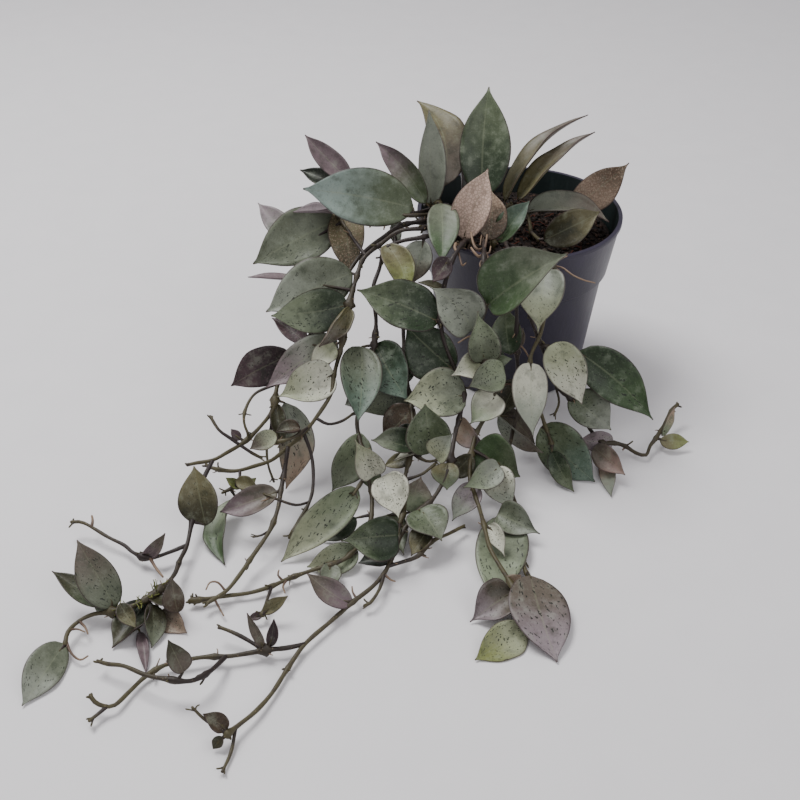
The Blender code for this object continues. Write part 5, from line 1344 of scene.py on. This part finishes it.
def add_stem(heap, path, radii, leaves, draw):
    """One stem with its old joints, where spurs and a root stand, and its end buds."""
    points, shares = resample(path, STEM_STEP)
    length = np.linalg.norm(np.diff(points, axis=0), axis=1).sum() / MM
    count = int(length / SPUR_EVERY)
    old = np.unique(draw.integers(2, len(points) - 1, count)) if count else []
    joints = [blade.joint for blade in leaves] + [points[place] for place in old]
    base = np.interp(shares, np.linspace(0, 1, len(radii)), radii) * STEM_SHARE
    ripple = RIPPLE[0] * np.sin(shares * len(points) * RIPPLE[1] + draw.uniform(0, 6))
    wide = swell(points, base, joints) * (1 + ripple)
    add_rod(heap, points, wide, STEM_SIDES, STEM_SKIN_AND_SHADE, draw)
    ahead = np.gradient(points, axis=0)
    ahead /= np.linalg.norm(ahead, axis=1, keepdims=True)
    for place in old:
        out = np.cross(ahead[place], draw.normal(size=3))
        out = out / np.linalg.norm(out)
        for sign in (1, -1)[:draw.integers(1, 3)]:
            add_spur(heap, points[place], sign * out + ahead[place] * SPUR_FORWARD,
                     draw.uniform(*SPUR_LENGTHS), base[place] * SPUR_THIN, draw)
        add_root(heap, points[place], draw.normal(size=3) - ROOT_DROOP,
                 draw.uniform(*ROOT_LENGTHS), draw)
    for sign in (1, -1):
        out = np.cross(ahead[-1], BUD_PLANE) * sign
        add_spur(heap, points[-2], ahead[-1] + out * BUD_OUT, draw.uniform(*BUD_LENGTHS),
                 base[-1] * BUD_THIN, draw)


def add_stalk(heap, blade, draw):
    """Stalk of one leaf, thinner towards the blade, with a root stub at its joint."""
    stalk, share = blade.stalk()
    points, shares = resample([*stalk, blade.midrib(share + INTO_BLADE)], STALK_STEP)
    radii = STALK_RADIUS * (STALK_TAPER[0] - STALK_TAPER[1] * shares) * MM
    add_rod(heap, points, radii, STALK_SIDES, STALK_SKIN, draw)
    add_root(heap, blade.joint, np.array(-blade.up), draw.uniform(*STALK_ROOTS), draw)


print("old joints about", SPUR_EVERY, "mm apart")

# %% [markdown]
# The leaf finish has a matt wax bloom over grey-green, paler clouds, short dark flecks, a
# fine dark line round the edge, and a smooth mauve underside. Each of these is a mask from
# 0 to 1, and the colour is a chain of blends through the masks. The flecks come first. They
# are Voronoi dots, stretched along the leaf and shaken by noise, in patches.

# %% Flecks and veins of a leaf
def flecks(wire, place, along, across, own):
    """Mask of short dark flecks, fewer on the leaves that stand high."""
    jitter = wire.grain(place, 330, 2.0, 0.5)
    spread = wire.vector(along * 17.0 + jitter * 2.2, across * 8.0 - jitter * 2.6, own * 37.0)
    dash = wire.cells(spread, 1.0)
    height = wire.add("ShaderNodeSeparateXYZ", {}, {"Vector": place}, "Z")
    hanging = 1 - height.steps(0.075, 0.115) * 0.75
    where = wire.grain(place, 95, 2.0, 0.5).steps(0.3, 0.48) * own.steps(0.0, 0.35) * hanging
    return (1 - (dash - where * 0.13).steps(0.07, 0.17)) * where


def side_veins(wire, along, side):
    """Faint bands that run from the midrib to the edge, slanted towards the tip."""
    return wire.add("ShaderNodeTexWave", {"wave_type": "BANDS", "bands_direction": "X"},
                    {"Vector": wire.vector(along - side * 0.18, side), "Scale": 2.6,
                     "Distortion": 0.6}, 1)


print("a leaf's flecks thin out from 75 to 115 mm above the table")

# %% [markdown]
# The full chain follows. It starts with the leaf's own two paints, one fading into the
# other along the leaf, and ends with the dark edge. The under side has a shorter chain, and
# a dead leaf has a brown net over everything.

# %% Leaf material
def leaf_material():
    """Wax bloom, clouds, flecks, edge and underside of a leaf, alive or dry."""
    made, wire, surface, place = start_material("waxy_leaf", 0.4)
    along, across, under = wire.stored("along"), wire.stored("across"), wire.stored("under")
    dry, own = wire.stored("dry"), wire.stored("own")
    side = abs(across)
    cloud = wire.grain(place, 150, 4.0, 0.6)
    fine = wire.grain(place, 1100, 5.0, 0.65)
    shift = (along + (cloud - 0.5) * 0.6).steps(0.2, 0.8)
    body = shift.blend(wire.stored("near", "Color"), wire.stored("far", "Color"))

    light = (cloud.steps(0.5, 0.72) * 0.28).blend(body, paint(152, 160, 142))
    dark = ((1 - cloud.steps(0.3, 0.5)) * 0.4).blend(light, paint(34, 43, 28))
    bloom = (fine.steps(0.52, 0.75) * 0.16).blend(dark, paint(174, 180, 162))
    pits = ((1 - fine.steps(0.32, 0.44)) * 0.35).blend(bloom, paint(36, 44, 30))
    rib = 1 - side.steps(0.01, 0.05)
    ribbed = (rib * 0.22).blend(pits, paint(140, 146, 118))
    spot = flecks(wire, place, along, across, own) * (1 - dry) * (1 - under * 0.8)
    flecked = (spot * 0.9).blend(ribbed, paint(28, 32, 24))

    belly = (cloud.steps(0.45, 0.7) * 0.25).blend(body, paint(138, 124, 128))
    belly = (rib * 0.35).blend(belly, paint(116, 104, 88))
    sided = under.blend(flecked, belly)
    net = wire.cells(place, 620.0, "DISTANCE_TO_EDGE")
    withered = ((1 - net.steps(0.02, 0.2)) * dry * 0.45).blend(sided, paint(92, 68, 52))
    browned = (fine.steps(0.5, 0.66) * dry * 0.4).blend(withered, paint(176, 154, 134))

    margin = (side + (fine - 0.5) * 0.02).steps(0.93, 0.985)
    edged = (margin * 0.65).blend(browned, paint(56, 36, 40))
    tip = (along + (fine - 0.5) * 0.03).steps(0.965, 0.995)
    final = (tip * 0.6).blend(edged, paint(66, 42, 40))
    rough = 0.4 + (fine - 0.5) * 0.25 + dry * 0.3 + cloud * 0.1
    relief = (fine * 0.35 + cloud * 0.9 + (1 - net) * dry * 0.6
              + side_veins(wire, along, side) * 0.14 - spot * 0.3)
    plug(surface, {"Base Color": final, "Roughness": rough, "Normal": relief.bump(0.35, 0.6)})
    return made


leaf_finish = leaf_material()
print("leaf material has", len(leaf_finish.node_tree.nodes), "nodes")

# %% [markdown]
# Stems are brown where they are old and olive near the tip, with fine grooves and pale corky
# spots; their old end is also darkened as painted shade, for the heap's shade near the crown.
# Roots share the material: the number called kind says which is which.

# %% Stem material
def stem_material():
    """Bark of a stem, from old to young, its old end darkened with painted shade, or the skin of
    a root.
    """
    made, wire, surface, place = start_material("hoya_stem", 0.4)
    along, kind, own = wire.stored("along"), wire.stored("kind"), wire.stored("own")
    clouds = wire.grain(place, 260, 4.0, 0.6)
    # From the dark foot colour to the end colour: real age, with painted shade in the darkness of
    # the foot.
    age_and_shade = (along + (clouds - 0.5) * 0.9 + (own - 0.5) * 0.5).steps(0.2, 0.9)
    body = age_and_shade.blend(wire.stored("near", "Color"), wire.stored("far", "Color"))
    dark = (clouds.steps(0.5, 0.68) * 0.6 * (1 - kind)).blend(body, paint(44, 32, 34))
    cork = wire.cells(place, 700.0)
    spots = (1 - cork.steps(0.12, 0.22)) * wire.grain(place, 90, 2.0).steps(0.5, 0.6)
    final = (spots * 0.5).blend(dark, paint(150, 132, 104))
    fine = wire.grain(place, 1400, 3.0, 0.6)
    plug(surface, {"Base Color": final, "Roughness": 0.52 + (fine - 0.5) * 0.3,
                   "Normal": (fine * 0.5 + clouds).bump(0.5, 0.5)})
    return made


stem_finish = stem_material()
print("stem material has", len(stem_finish.node_tree.nodes), "nodes")

# %% [markdown]
# A few roots are long enough to see from across a table. They are pale, curl freely and
# leave the stem at a joint. Each is given as places in the view with a height, like the
# stems, and snaps to the nearest stem at its start.

# %% Long roots that curl in the air
# thick: radius in mm. points: (across, down, height in mm) in the view.
LONG_ROOTS = {
    "crown_back_shoot": [
        (0.6, [(485, 228, 100), (484, 236, 97), (482, 243, 94)]),
        (0.6, [(475, 231, 100), (474, 240, 98), (476, 249, 95)]),
    ],
    "crown_front_shoot": [
        (0.9, [(457, 243, 98), (454, 249, 96), (453, 256, 94)]),
        (0.7, [(458, 255, 95), (460, 261, 93), (463, 267, 91)]),
    ],
    "left_high_vine": [
        (0.8, [(388, 210, 110), (383, 218, 106), (377, 226, 103)]),
        (0.7, [(382, 208, 109), (375, 216, 106), (370, 228, 102)]),
        (0.7, [(380, 207, 109), (386, 220, 105), (384, 230, 102)]),
    ],
    "front_middle_vine": [
        (1.0, [(484, 250, 108), (488, 257, 107), (492, 263, 106), (490, 269, 105)]),
        (0.8, [(484, 246, 107), (478, 248, 108), (474, 244, 109), (472, 238, 110),
               (471, 232, 111)]),
        (0.7, [(484, 248, 108), (486, 241, 109), (487, 234, 110)]),
        (0.9, [(484, 252, 108), (479, 255, 107), (475, 252, 108), (471, 247, 109)]),
        (0.6, [(485, 254, 107), (490, 252, 108), (491, 246, 109)]),
        (0.6, [(484, 256, 107), (480, 263, 105), (482, 269, 103)]),
        (0.7, [(485, 257, 107), (493, 257, 106), (500, 259, 105)]),
        (0.6, [(466, 338, 71), (459, 339, 71), (453, 344, 69)]),
        (0.6, [(522, 622, 5), (530, 632, 4), (535, 646, 3), (541, 640, 4)]),
    ],
    "front_right_vine": [
        (0.7, [(514, 392, 40), (506, 385, 43), (501, 387, 43), (500, 393, 41)]),
        (0.6, [(517, 345, 61), (524, 350, 58), (530, 360, 54)]),
    ],
    "right_vine": [
        (0.5, [(553, 266, 103), (562, 268, 103), (572, 275, 102), (583, 280, 101),
               (595, 283, 100)]),
        (0.4, [(556, 266, 103), (561, 260, 105), (568, 256, 107)]),
    ],
    "front_long_vine": [
        (1.0, [(461, 246, 108), (457, 243, 109), (455, 247, 109), (457, 252, 108)]),
        (0.6, [(459, 250, 108), (461, 258, 106), (463, 265, 104), (466, 263, 103)]),
        (0.6, [(386, 573, 8), (392, 579, 7), (396, 581, 5)]),
        (0.6, [(357, 598, 6), (353, 592, 6), (352, 586, 7)]),
    ],
    "left_inner_vine": [
        (0.6, [(283, 581, 4), (278, 575, 6), (279, 570, 8)]),
        (0.6, [(287, 579, 4), (283, 586, 4), (285, 593, 4)]),
    ],
    "left_long_vine": [
        (0.6, [(226, 592, 6), (218, 583, 8), (210, 583, 8), (206, 590, 7)]),
        (0.6, [(215, 599, 6), (219, 607, 4), (224, 616, 3)]),
    ],
    "left_floor_vine": [
        (0.7, [(66, 641, 5), (71, 653, 4), (80, 660, 3), (88, 656, 3)]),
        (0.5, [(70, 630, 6), (77, 629, 7), (85, 632, 6)]),
        (0.7, [(79, 621, 6), (85, 627, 5), (88, 634, 4)]),
        (0.8, [(92, 526, 9), (93, 520, 10), (92, 515, 11)]),
        (0.9, [(150, 558, 6), (156, 568, 6), (163, 577, 5)]),
    ],
}
LONG_STEP = 1.2
LONG_TAPER = (1.1, 0.5)
LONG_SIDES = 6


def on_stems(paths, spot):
    """Nearest point to a spot on any stem of a vine."""
    starts = [nearest_on(path, spot) for path, _ in paths]
    return min(starts, key=lambda start: (start - spot).length)


def add_long_roots(heap, name, paths, draw):
    """Curly roots of one vine, each starting on the stem nearest to it."""
    for thick, places in LONG_ROOTS.get(name, []):
        points = [sight(*place) for place in places]
        start = on_stems(paths, points[0])
        move = start - points[0]
        points = [start] + [point + move * (1 - i / len(points))
                            for i, point in enumerate(points[1:], 1)]
        curve, shares = resample(points, LONG_STEP)
        radii = thick * (LONG_TAPER[0] - LONG_TAPER[1] * shares) * MM
        add_rod(heap, curve, radii, LONG_SIDES, ROOT_SKIN, draw)


print("long roots:", sum(len(rows) for rows in LONG_ROOTS.values()))

# %% [markdown]
# Where the long vine comes down to the table it carries a mossy tangle, left from old flower
# stalks. Threads like these have no order worth planning. We scatter seeded curls along a
# short stretch of the stem, and let each one wander.

# %% Mossy threads
MOSSY_VINE = "left_floor_vine"
MOSS_ENDS = ((112, 608, 8), (160, 588, 10))
MOSS_COUNT = 64
MOSS_LENGTHS = (2.5, 7)
MOSS_RADII = (0.36, 0.2)
MOSS_BEND = 0.9
MOSS_LIFT = 0.7
MOSS_SKIN = (paint(64, 70, 32), paint(116, 120, 58), 1)


def add_moss(heap, paths, draw):
    """Tangle of thin curls along the stem between two places of the view."""
    first, last = (sight(*place) for place in MOSS_ENDS)
    for _ in range(MOSS_COUNT):
        start = on_stems(paths, first.lerp(last, draw.uniform()))
        toward = draw.normal(size=3) + (0, 0, MOSS_LIFT)
        points = crooked(start, toward, draw.uniform(*MOSS_LENGTHS), MOSS_BEND, draw)
        radii = np.linspace(*MOSS_RADII, len(points)) * MM
        add_rod(heap, points, radii, ROOT_SIDES, MOSS_SKIN, draw)


print("mossy threads:", MOSS_COUNT)

# %% [markdown]
# Now every shoot and vine becomes one object. It replaces the plain solid of the same name,
# and rides on the body that the solid belongs to.

# %% Build the shoots and vines
FIRST_SEED = 100
total = 0
for number, spray in enumerate(SPRAYS):
    draw = np.random.default_rng(FIRST_SEED + number)
    heap = Heap()
    for blade, look in zip(blades[spray.name], looks_of(spray.name)):
        add_blade(heap, blade, look, draw)
    for path, radii in stems[spray.name]:
        add_stem(heap, path, radii, blades[spray.name], draw)
    for blade in blades[spray.name]:
        add_stalk(heap, blade, draw)
    add_long_roots(heap, spray.name, stems[spray.name], draw)
    if spray.name == MOSSY_VINE:
        add_moss(heap, stems[spray.name], draw)
    piece = heap.object(f"{spray.name}_leafy", [leaf_finish, stem_finish])
    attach(piece, "root")
    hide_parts(spray.name)
    total += len(piece.data.polygons)
print("faces on shoots and vines:", total)

# %% [markdown]
# The pot and the soil are turned shapes. A Screw modifier turns an outline round the axis,
# as the mould was turned, and Boolean modifiers drill the holes. Once the modifiers have
# done their work, their result becomes the mesh.

# %% Turning and drilling
# MERGE is how close two points have to be, in metres, to become one.
MERGE = 0.00005


def turned(name, profile, steps):
    """Solid turned round the upright axis from its outline in mm."""
    mesh = bpy.data.meshes.new(name)
    mesh.from_pydata([(x * MM, 0.0, z * MM) for x, z in profile],
                     [(i, i + 1) for i in range(len(profile) - 1)], [])
    thing = linked(name, mesh)
    screw = thing.modifiers.new("turn", "SCREW")
    screw.steps = steps
    screw.render_steps = steps
    screw.use_merge_vertices = True
    screw.merge_threshold = MERGE
    return thing


def drill(thing, holes, sides):
    """Cut upright round holes, (x, y, low, high, radius) in mm, and return the cutters."""
    cutters = []
    for x, y, low, high, radius in holes:
        bpy.ops.mesh.primitive_cylinder_add(
            vertices=sides, radius=radius * MM, depth=(high - low) * MM,
            location=(x * MM, y * MM, (low + high) / 2 * MM))
        cutters.append(bpy.context.active_object)
        cut = thing.modifiers.new("hole", "BOOLEAN")
        cut.operation = "DIFFERENCE"
        cut.object = cutters[-1]
    return cutters


def apply_all(thing):
    """Make the modifiers' result the object's own mesh, smoothly shaded."""
    bpy.context.view_layer.update()
    seen = thing.evaluated_get(bpy.context.evaluated_depsgraph_get())
    mesh = bpy.data.meshes.new_from_object(seen)
    thing.modifiers.clear()
    thing.data = mesh
    mesh.materials.clear()
    mesh.polygons.foreach_set("use_smooth", [True] * len(mesh.polygons))


print("points closer than", MERGE / MM, "mm are merged")

# %% [markdown]
# The pot is thin moulded plastic. A small bevel rounds its edges, because a mould never
# leaves them sharp and the light needs something to run along.

# %% The pot
# EDGE_ROUND is in mm. An edge is rounded from ROUND_FROM degrees, and shows from
# SHARP_FROM degrees.
POT_TURNS = 128
DRAIN_SIDES = 32
EDGE_ROUND = 0.4
ROUND_FROM = 28
SHARP_FROM = 32

pot = turned("nursery_pot", POT_PROFILE, POT_TURNS)
drain_holes = []
for number in range(DRAIN_COUNT):
    angle = math.tau * (number + DRAIN_START) / DRAIN_COUNT
    drain_holes.append((DRAIN_RING * math.cos(angle), DRAIN_RING * math.sin(angle),
                        -CUT_PAST, BASE_THICK + CUT_PAST, DRAIN_RADIUS))
cutters = drill(pot, drain_holes, DRAIN_SIDES)
round_off = pot.modifiers.new("round", "BEVEL")
round_off.width = EDGE_ROUND * MM
round_off.segments = 2
round_off.limit_method = "ANGLE"
round_off.angle_limit = math.radians(ROUND_FROM)
apply_all(pot)
for cutter in cutters:
    bpy.data.objects.remove(cutter, do_unlink=True)
pot.data.set_sharp_from_angle(angle=math.radians(SHARP_FROM))
print("pot faces:", len(pot.data.polygons))

# %% [markdown]
# Old nursery plastic is a dark slate with a low sheen. Handling leaves fine rubbed marks,
# water leaves a faint grey film, and soil dust clings to it. The inside is painted nearly
# black as painted shade, since little light reaches down into the pot, so its faces get a
# second set of paints from the same function.

# %% Pot material
# INSIDE_TOP is how far under the rim the painted shade of the inside starts, in mm.
INSIDE_TOP = 0.5


def pot_material(name, dark, light, film_tint, dust_tint):
    """Plastic of two tones with a streaky film of water marks and a little dust."""
    made, wire, surface, place = start_material(name, 0.4)
    cloud = wire.grain(place, 22, 5.0, 0.6)
    fine = wire.grain(place, 700, 4.0, 0.6)
    upright = wire.add("ShaderNodeVectorMath", {"operation": "MULTIPLY"},
                       {0: place, 1: (1.0, 1.0, 0.08)})
    streak = wire.grain(upright, 260, 4.0, 0.6)
    body = cloud.steps(0.35, 0.7).blend(dark, light)
    film = (streak.steps(0.52, 0.75) * 0.22).blend(body, film_tint)
    dust = (fine.steps(0.62, 0.72) * cloud.steps(0.5, 0.65) * 0.35).blend(film, dust_tint)
    rough = 0.42 + (cloud - 0.5) * 0.25 + (streak - 0.5) * 0.15
    plug(surface, {"Base Color": dust, "Roughness": rough,
                   "Normal": (fine + streak * 0.4).bump(0.25, 0.3)})
    return made


pot.data.materials.append(pot_material("slate_plastic", paint(38, 35, 49), paint(47, 42, 60),
                                       paint(68, 63, 82), paint(98, 90, 92)))
# Near-black paints for the inside: painted shade where little light reaches into the pot.
pot.data.materials.append(pot_material("damp_inside", paint(14, 22, 22), paint(22, 34, 33),
                                       paint(44, 56, 56), paint(84, 76, 66)))
for face in pot.data.polygons:
    inward = face.normal.xy.dot(face.center.xy) < 0
    if inward and BASE_THICK * MM < face.center.z < (POT_HEIGHT - INSIDE_TOP) * MM:
        face.material_index = 1
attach(pot, "root")
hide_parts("pot")
print("pot materials:", len(pot.data.materials))

# %% [markdown]
# The soil is chunky: bits of bark, peat and old roots. A bumpy filling gives the ground its
# form. Its top is cut finer, and each point of it is moved up or down by a seeded draw.

# %% The filling of soil
# BUMPS is the range in mm by which a point moves. The top's faces look up by TOP_FACING
# or more and lie above TOP_FROM mm. Points within EDGE_KEPT mm of the edge, or more than
# TOP_KEPT mm under the top, stay where they are.
FILLING_TURNS = 64
FILLING_CUTS = 5
BUMPS = (-1.2, 0.5)
TOP_FACING = 0.6
TOP_FROM = 80.0
EDGE_KEPT = 1.0
TOP_KEPT = 1.5
SOIL_SEED = 7

draw = np.random.default_rng(SOIL_SEED)
filling = turned("soil_filling", SOIL_PROFILE, FILLING_TURNS)
apply_all(filling)
rise = bmesh.new()
rise.from_mesh(filling.data)
top = [face for face in rise.faces
       if face.normal.z > TOP_FACING and face.calc_center_median().z > TOP_FROM * MM]
bmesh.ops.subdivide_edges(rise, edges=list({edge for face in top for edge in face.edges}),
                          cuts=FILLING_CUTS, use_grid_fill=True)
for vertex in rise.verts:
    inner = vertex.co.xy.length < (SOIL_EDGE - EDGE_KEPT) * MM
    if vertex.co.z > (SOIL_TOP - TOP_KEPT) * MM and inner:
        vertex.co.z += draw.uniform(*BUMPS) * MM
rise.to_mesh(filling.data)
rise.free()
filling.data.polygons.foreach_set("use_smooth", [True] * len(filling.data.polygons))
print("faces of the filling:", len(filling.data.polygons))

# %% [markdown]
# Several hundred chips of bark and some reddish threads lie on the filling. Each chip is a
# squashed, tilted eight-cornered lump, which is plenty at this size, and each thread is a
# short rod that wanders over the ground.

# %% Chips and threads on the soil
# Sizes are in mm, and a pair is a range to draw from, but THREAD_RADII is the foot's and
# the end's, and THREAD_LIFT is the least height over the soil and the swing above it.
# CHIP_SHARE divides a chip's sizes, CHIP_LEAN is in radians, and the two rooms keep
# chips and threads off the pot's wall.
CHIPS = 900
CHIP_SIZES = ((0.8, 3.2), (0.6, 1.8), (0.4, 1.0))
CHIP_CORNERS = np.array([(x, y, z) for z in (-1, 1)
                         for x, y in ((-1, -1), (1, -1), (1, 1), (-1, 1))])
CHIP_FACES = [(3, 2, 1, 0), (4, 5, 6, 7), (0, 1, 5, 4), (1, 2, 6, 5), (2, 3, 7, 6),
              (3, 0, 4, 7)]
CHIP_WEAR = (0.6, 1.1)
CHIP_SHARE = 1.6
CHIP_LEAN = 0.7
CHIP_SINK = (-0.3, 0.7)
CHIP_ROOM = 3.5
BARKS = [paint(30, 24, 20), paint(42, 31, 25), paint(58, 41, 33), paint(22, 18, 17),
         paint(74, 54, 44)]
THREADS = 70
THREAD_POINTS = 7
THREAD_RUNS = (0.8, 1.7)
THREAD_RADII = (0.32, 0.16)
THREAD_SWAY = 0.5
THREAD_LIFT = (0.6, 0.5)
THREAD_SIDES = 4
THREAD_ROOM = 12
THREAD_SKIN = (paint(96, 52, 40), paint(140, 92, 76), 1)


def soil_height(x, y):
    """Height of the soil's ground form in mm at a place in mm."""
    return float(np.interp(math.hypot(x, y), *zip(*SOIL_PROFILE[:4])))


def on_soil(room, draw):
    """Place in mm on the soil, evenly spread, at least this far from its edge."""
    angle, far = draw.uniform(0, math.tau), math.sqrt(draw.uniform(0, 1)) * (SOIL_EDGE - room)
    return far * math.cos(angle), far * math.sin(angle)


def add_chip(heap, draw):
    """One worn lump of bark, spun about the upright and then leaned over."""
    x, y = on_soil(CHIP_ROOM, draw)
    size = np.array([draw.uniform(*sizes) for sizes in CHIP_SIZES])
    worn = draw.uniform(*CHIP_WEAR, CHIP_CORNERS.shape)
    corners = CHIP_CORNERS * size * worn / CHIP_SHARE
    spin = Quaternion((0, 0, 1), draw.uniform(0, math.tau))
    axis = Vector((draw.normal(), draw.normal(), 0.2)).normalized()
    turn = np.array((Quaternion(axis, draw.uniform(0, CHIP_LEAN)) @ spin).to_matrix())
    centre = np.array([x, y, soil_height(x, y) + draw.uniform(*CHIP_SINK)])
    bark = BARKS[draw.integers(0, len(BARKS))]
    heap.add((corners @ turn.T + centre) * MM, CHIP_FACES, 0, bark, bark, own=draw.uniform())


def add_thread(heap, draw):
    """One reddish thread that wanders over the soil."""
    spot = np.array([*on_soil(THREAD_ROOM, draw), 0.0])
    heading = np.array([draw.normal(), draw.normal(), 0.0])
    line = []
    for _ in range(THREAD_POINTS):
        heading += draw.normal(size=3) * THREAD_SWAY
        spot = spot + heading / np.linalg.norm(heading) * draw.uniform(*THREAD_RUNS)
        lift = THREAD_LIFT[0] + abs(draw.normal()) * THREAD_LIFT[1]
        height = soil_height(spot[0], spot[1]) + lift
        line.append([spot[0] * MM, spot[1] * MM, height * MM])
    radii = np.linspace(*THREAD_RADII, THREAD_POINTS) * MM
    add_rod(heap, line, radii, THREAD_SIDES, THREAD_SKIN, draw, slot=0)


crumbs = Heap()
for _ in range(CHIPS):
    add_chip(crumbs, draw)
for _ in range(THREADS):
    add_thread(crumbs, draw)
chips = crumbs.object("bark_chips", [])
print("faces of chips and threads:", len(chips.data.polygons))

# %% [markdown]
# Peat drinks light, so the filling is nearly black, with a coarse bump. The chips wear the
# bark colours that were stored on them.

# %% Soil materials
def soil_material(name, chipped):
    """Dark peat, or the bark of the chips, with the same coarse bump."""
    made, wire, surface, place = start_material(name, 0.25)
    coarse = wire.grain(place, 420, 6.0, 0.7)
    fine = wire.grain(place, 1500, 4.0, 0.6)
    if chipped:
        colour = (coarse.steps(0.4, 0.7) * 0.6).blend(wire.stored("near", "Color"),
                                                      paint(24, 19, 17))
    else:
        colour = coarse.steps(0.35, 0.72).blend(paint(12, 10, 9), paint(46, 33, 27))
    plug(surface, {"Base Color": colour, "Roughness": 0.78 + (fine - 0.5) * 0.3,
                   "Normal": (coarse + fine * 0.4).bump(0.8, 1.0)})
    return made


filling.data.materials.append(soil_material("dark_peat", False))
chips.data.materials.append(soil_material("bark", True))
for piece in (filling, chips):
    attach(piece, "root")
    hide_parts("soil")
print("the soil is dressed")

# %% [markdown]
# Next comes the table. It is plain and pale so that the plant alone has colour, and it is
# only a stage: it is not a part of the plant.

# %% The table
TABLE_SIZE = 6.0

bpy.ops.mesh.primitive_plane_add(size=TABLE_SIZE, location=(0, 0, 0))
table = bpy.context.active_object
table.name = "table_top"
table_finish, table_wire, table_surface, table_place = start_material("pale_table", 0.5)
soft = table_wire.grain(table_place, 40, 3.0, 0.5)
plug(table_surface, {"Base Color": soft.blend(paint(226, 224, 226), paint(232, 230, 231)),
                     "Roughness": 0.6 + (soft - 0.5) * 0.1})
table.data.materials.append(table_finish)
print("the table is", TABLE_SIZE, "m across")

# %% [markdown]
# One large lamp high on the left gives soft shadows, a second fills them from the right,
# and the sky lights the rest. The camera stands where the eye of the plan stood.

# %% Light and camera
SKY_COLOUR = (0.86, 0.84, 0.88, 1.0)
SKY_STRENGTH = 0.55
LENS = 50
SENSOR = 36


def lamp(name, place, aim, size, power):
    """Square lamp that faces a point, with its side in metres and its power in watts."""
    light = bpy.data.lights.new(name, "AREA")
    light.shape = "SQUARE"
    light.size = size
    light.energy = power
    thing = linked(name, light)
    thing.location = place
    thing.rotation_euler = (Vector(aim) - Vector(place)).to_track_quat("-Z", "Y").to_euler()


lamp("key_lamp", (-0.55, 0.25, 1.2), (-0.05, -0.1, 0.03), 0.6, 17.0)
lamp("fill_lamp", (0.6, -0.9, 0.9), (0.0, -0.1, 0.05), 0.9, 5.0)
world = bpy.data.worlds.new("soft_sky")
world.use_nodes = True
world.node_tree.nodes["Background"].inputs["Color"].default_value = SKY_COLOUR
world.node_tree.nodes["Background"].inputs["Strength"].default_value = SKY_STRENGTH
bpy.context.scene.world = world
camera = linked("camera", bpy.data.cameras.new("camera"))
camera.data.lens = LENS
camera.data.sensor_width = SENSOR
camera.location = EYE
camera.rotation_euler = (math.radians(90) - EYE_PITCH, 0, 0)
bpy.context.scene.camera = camera
print("camera at", tuple(round(v, 3) for v in camera.location))
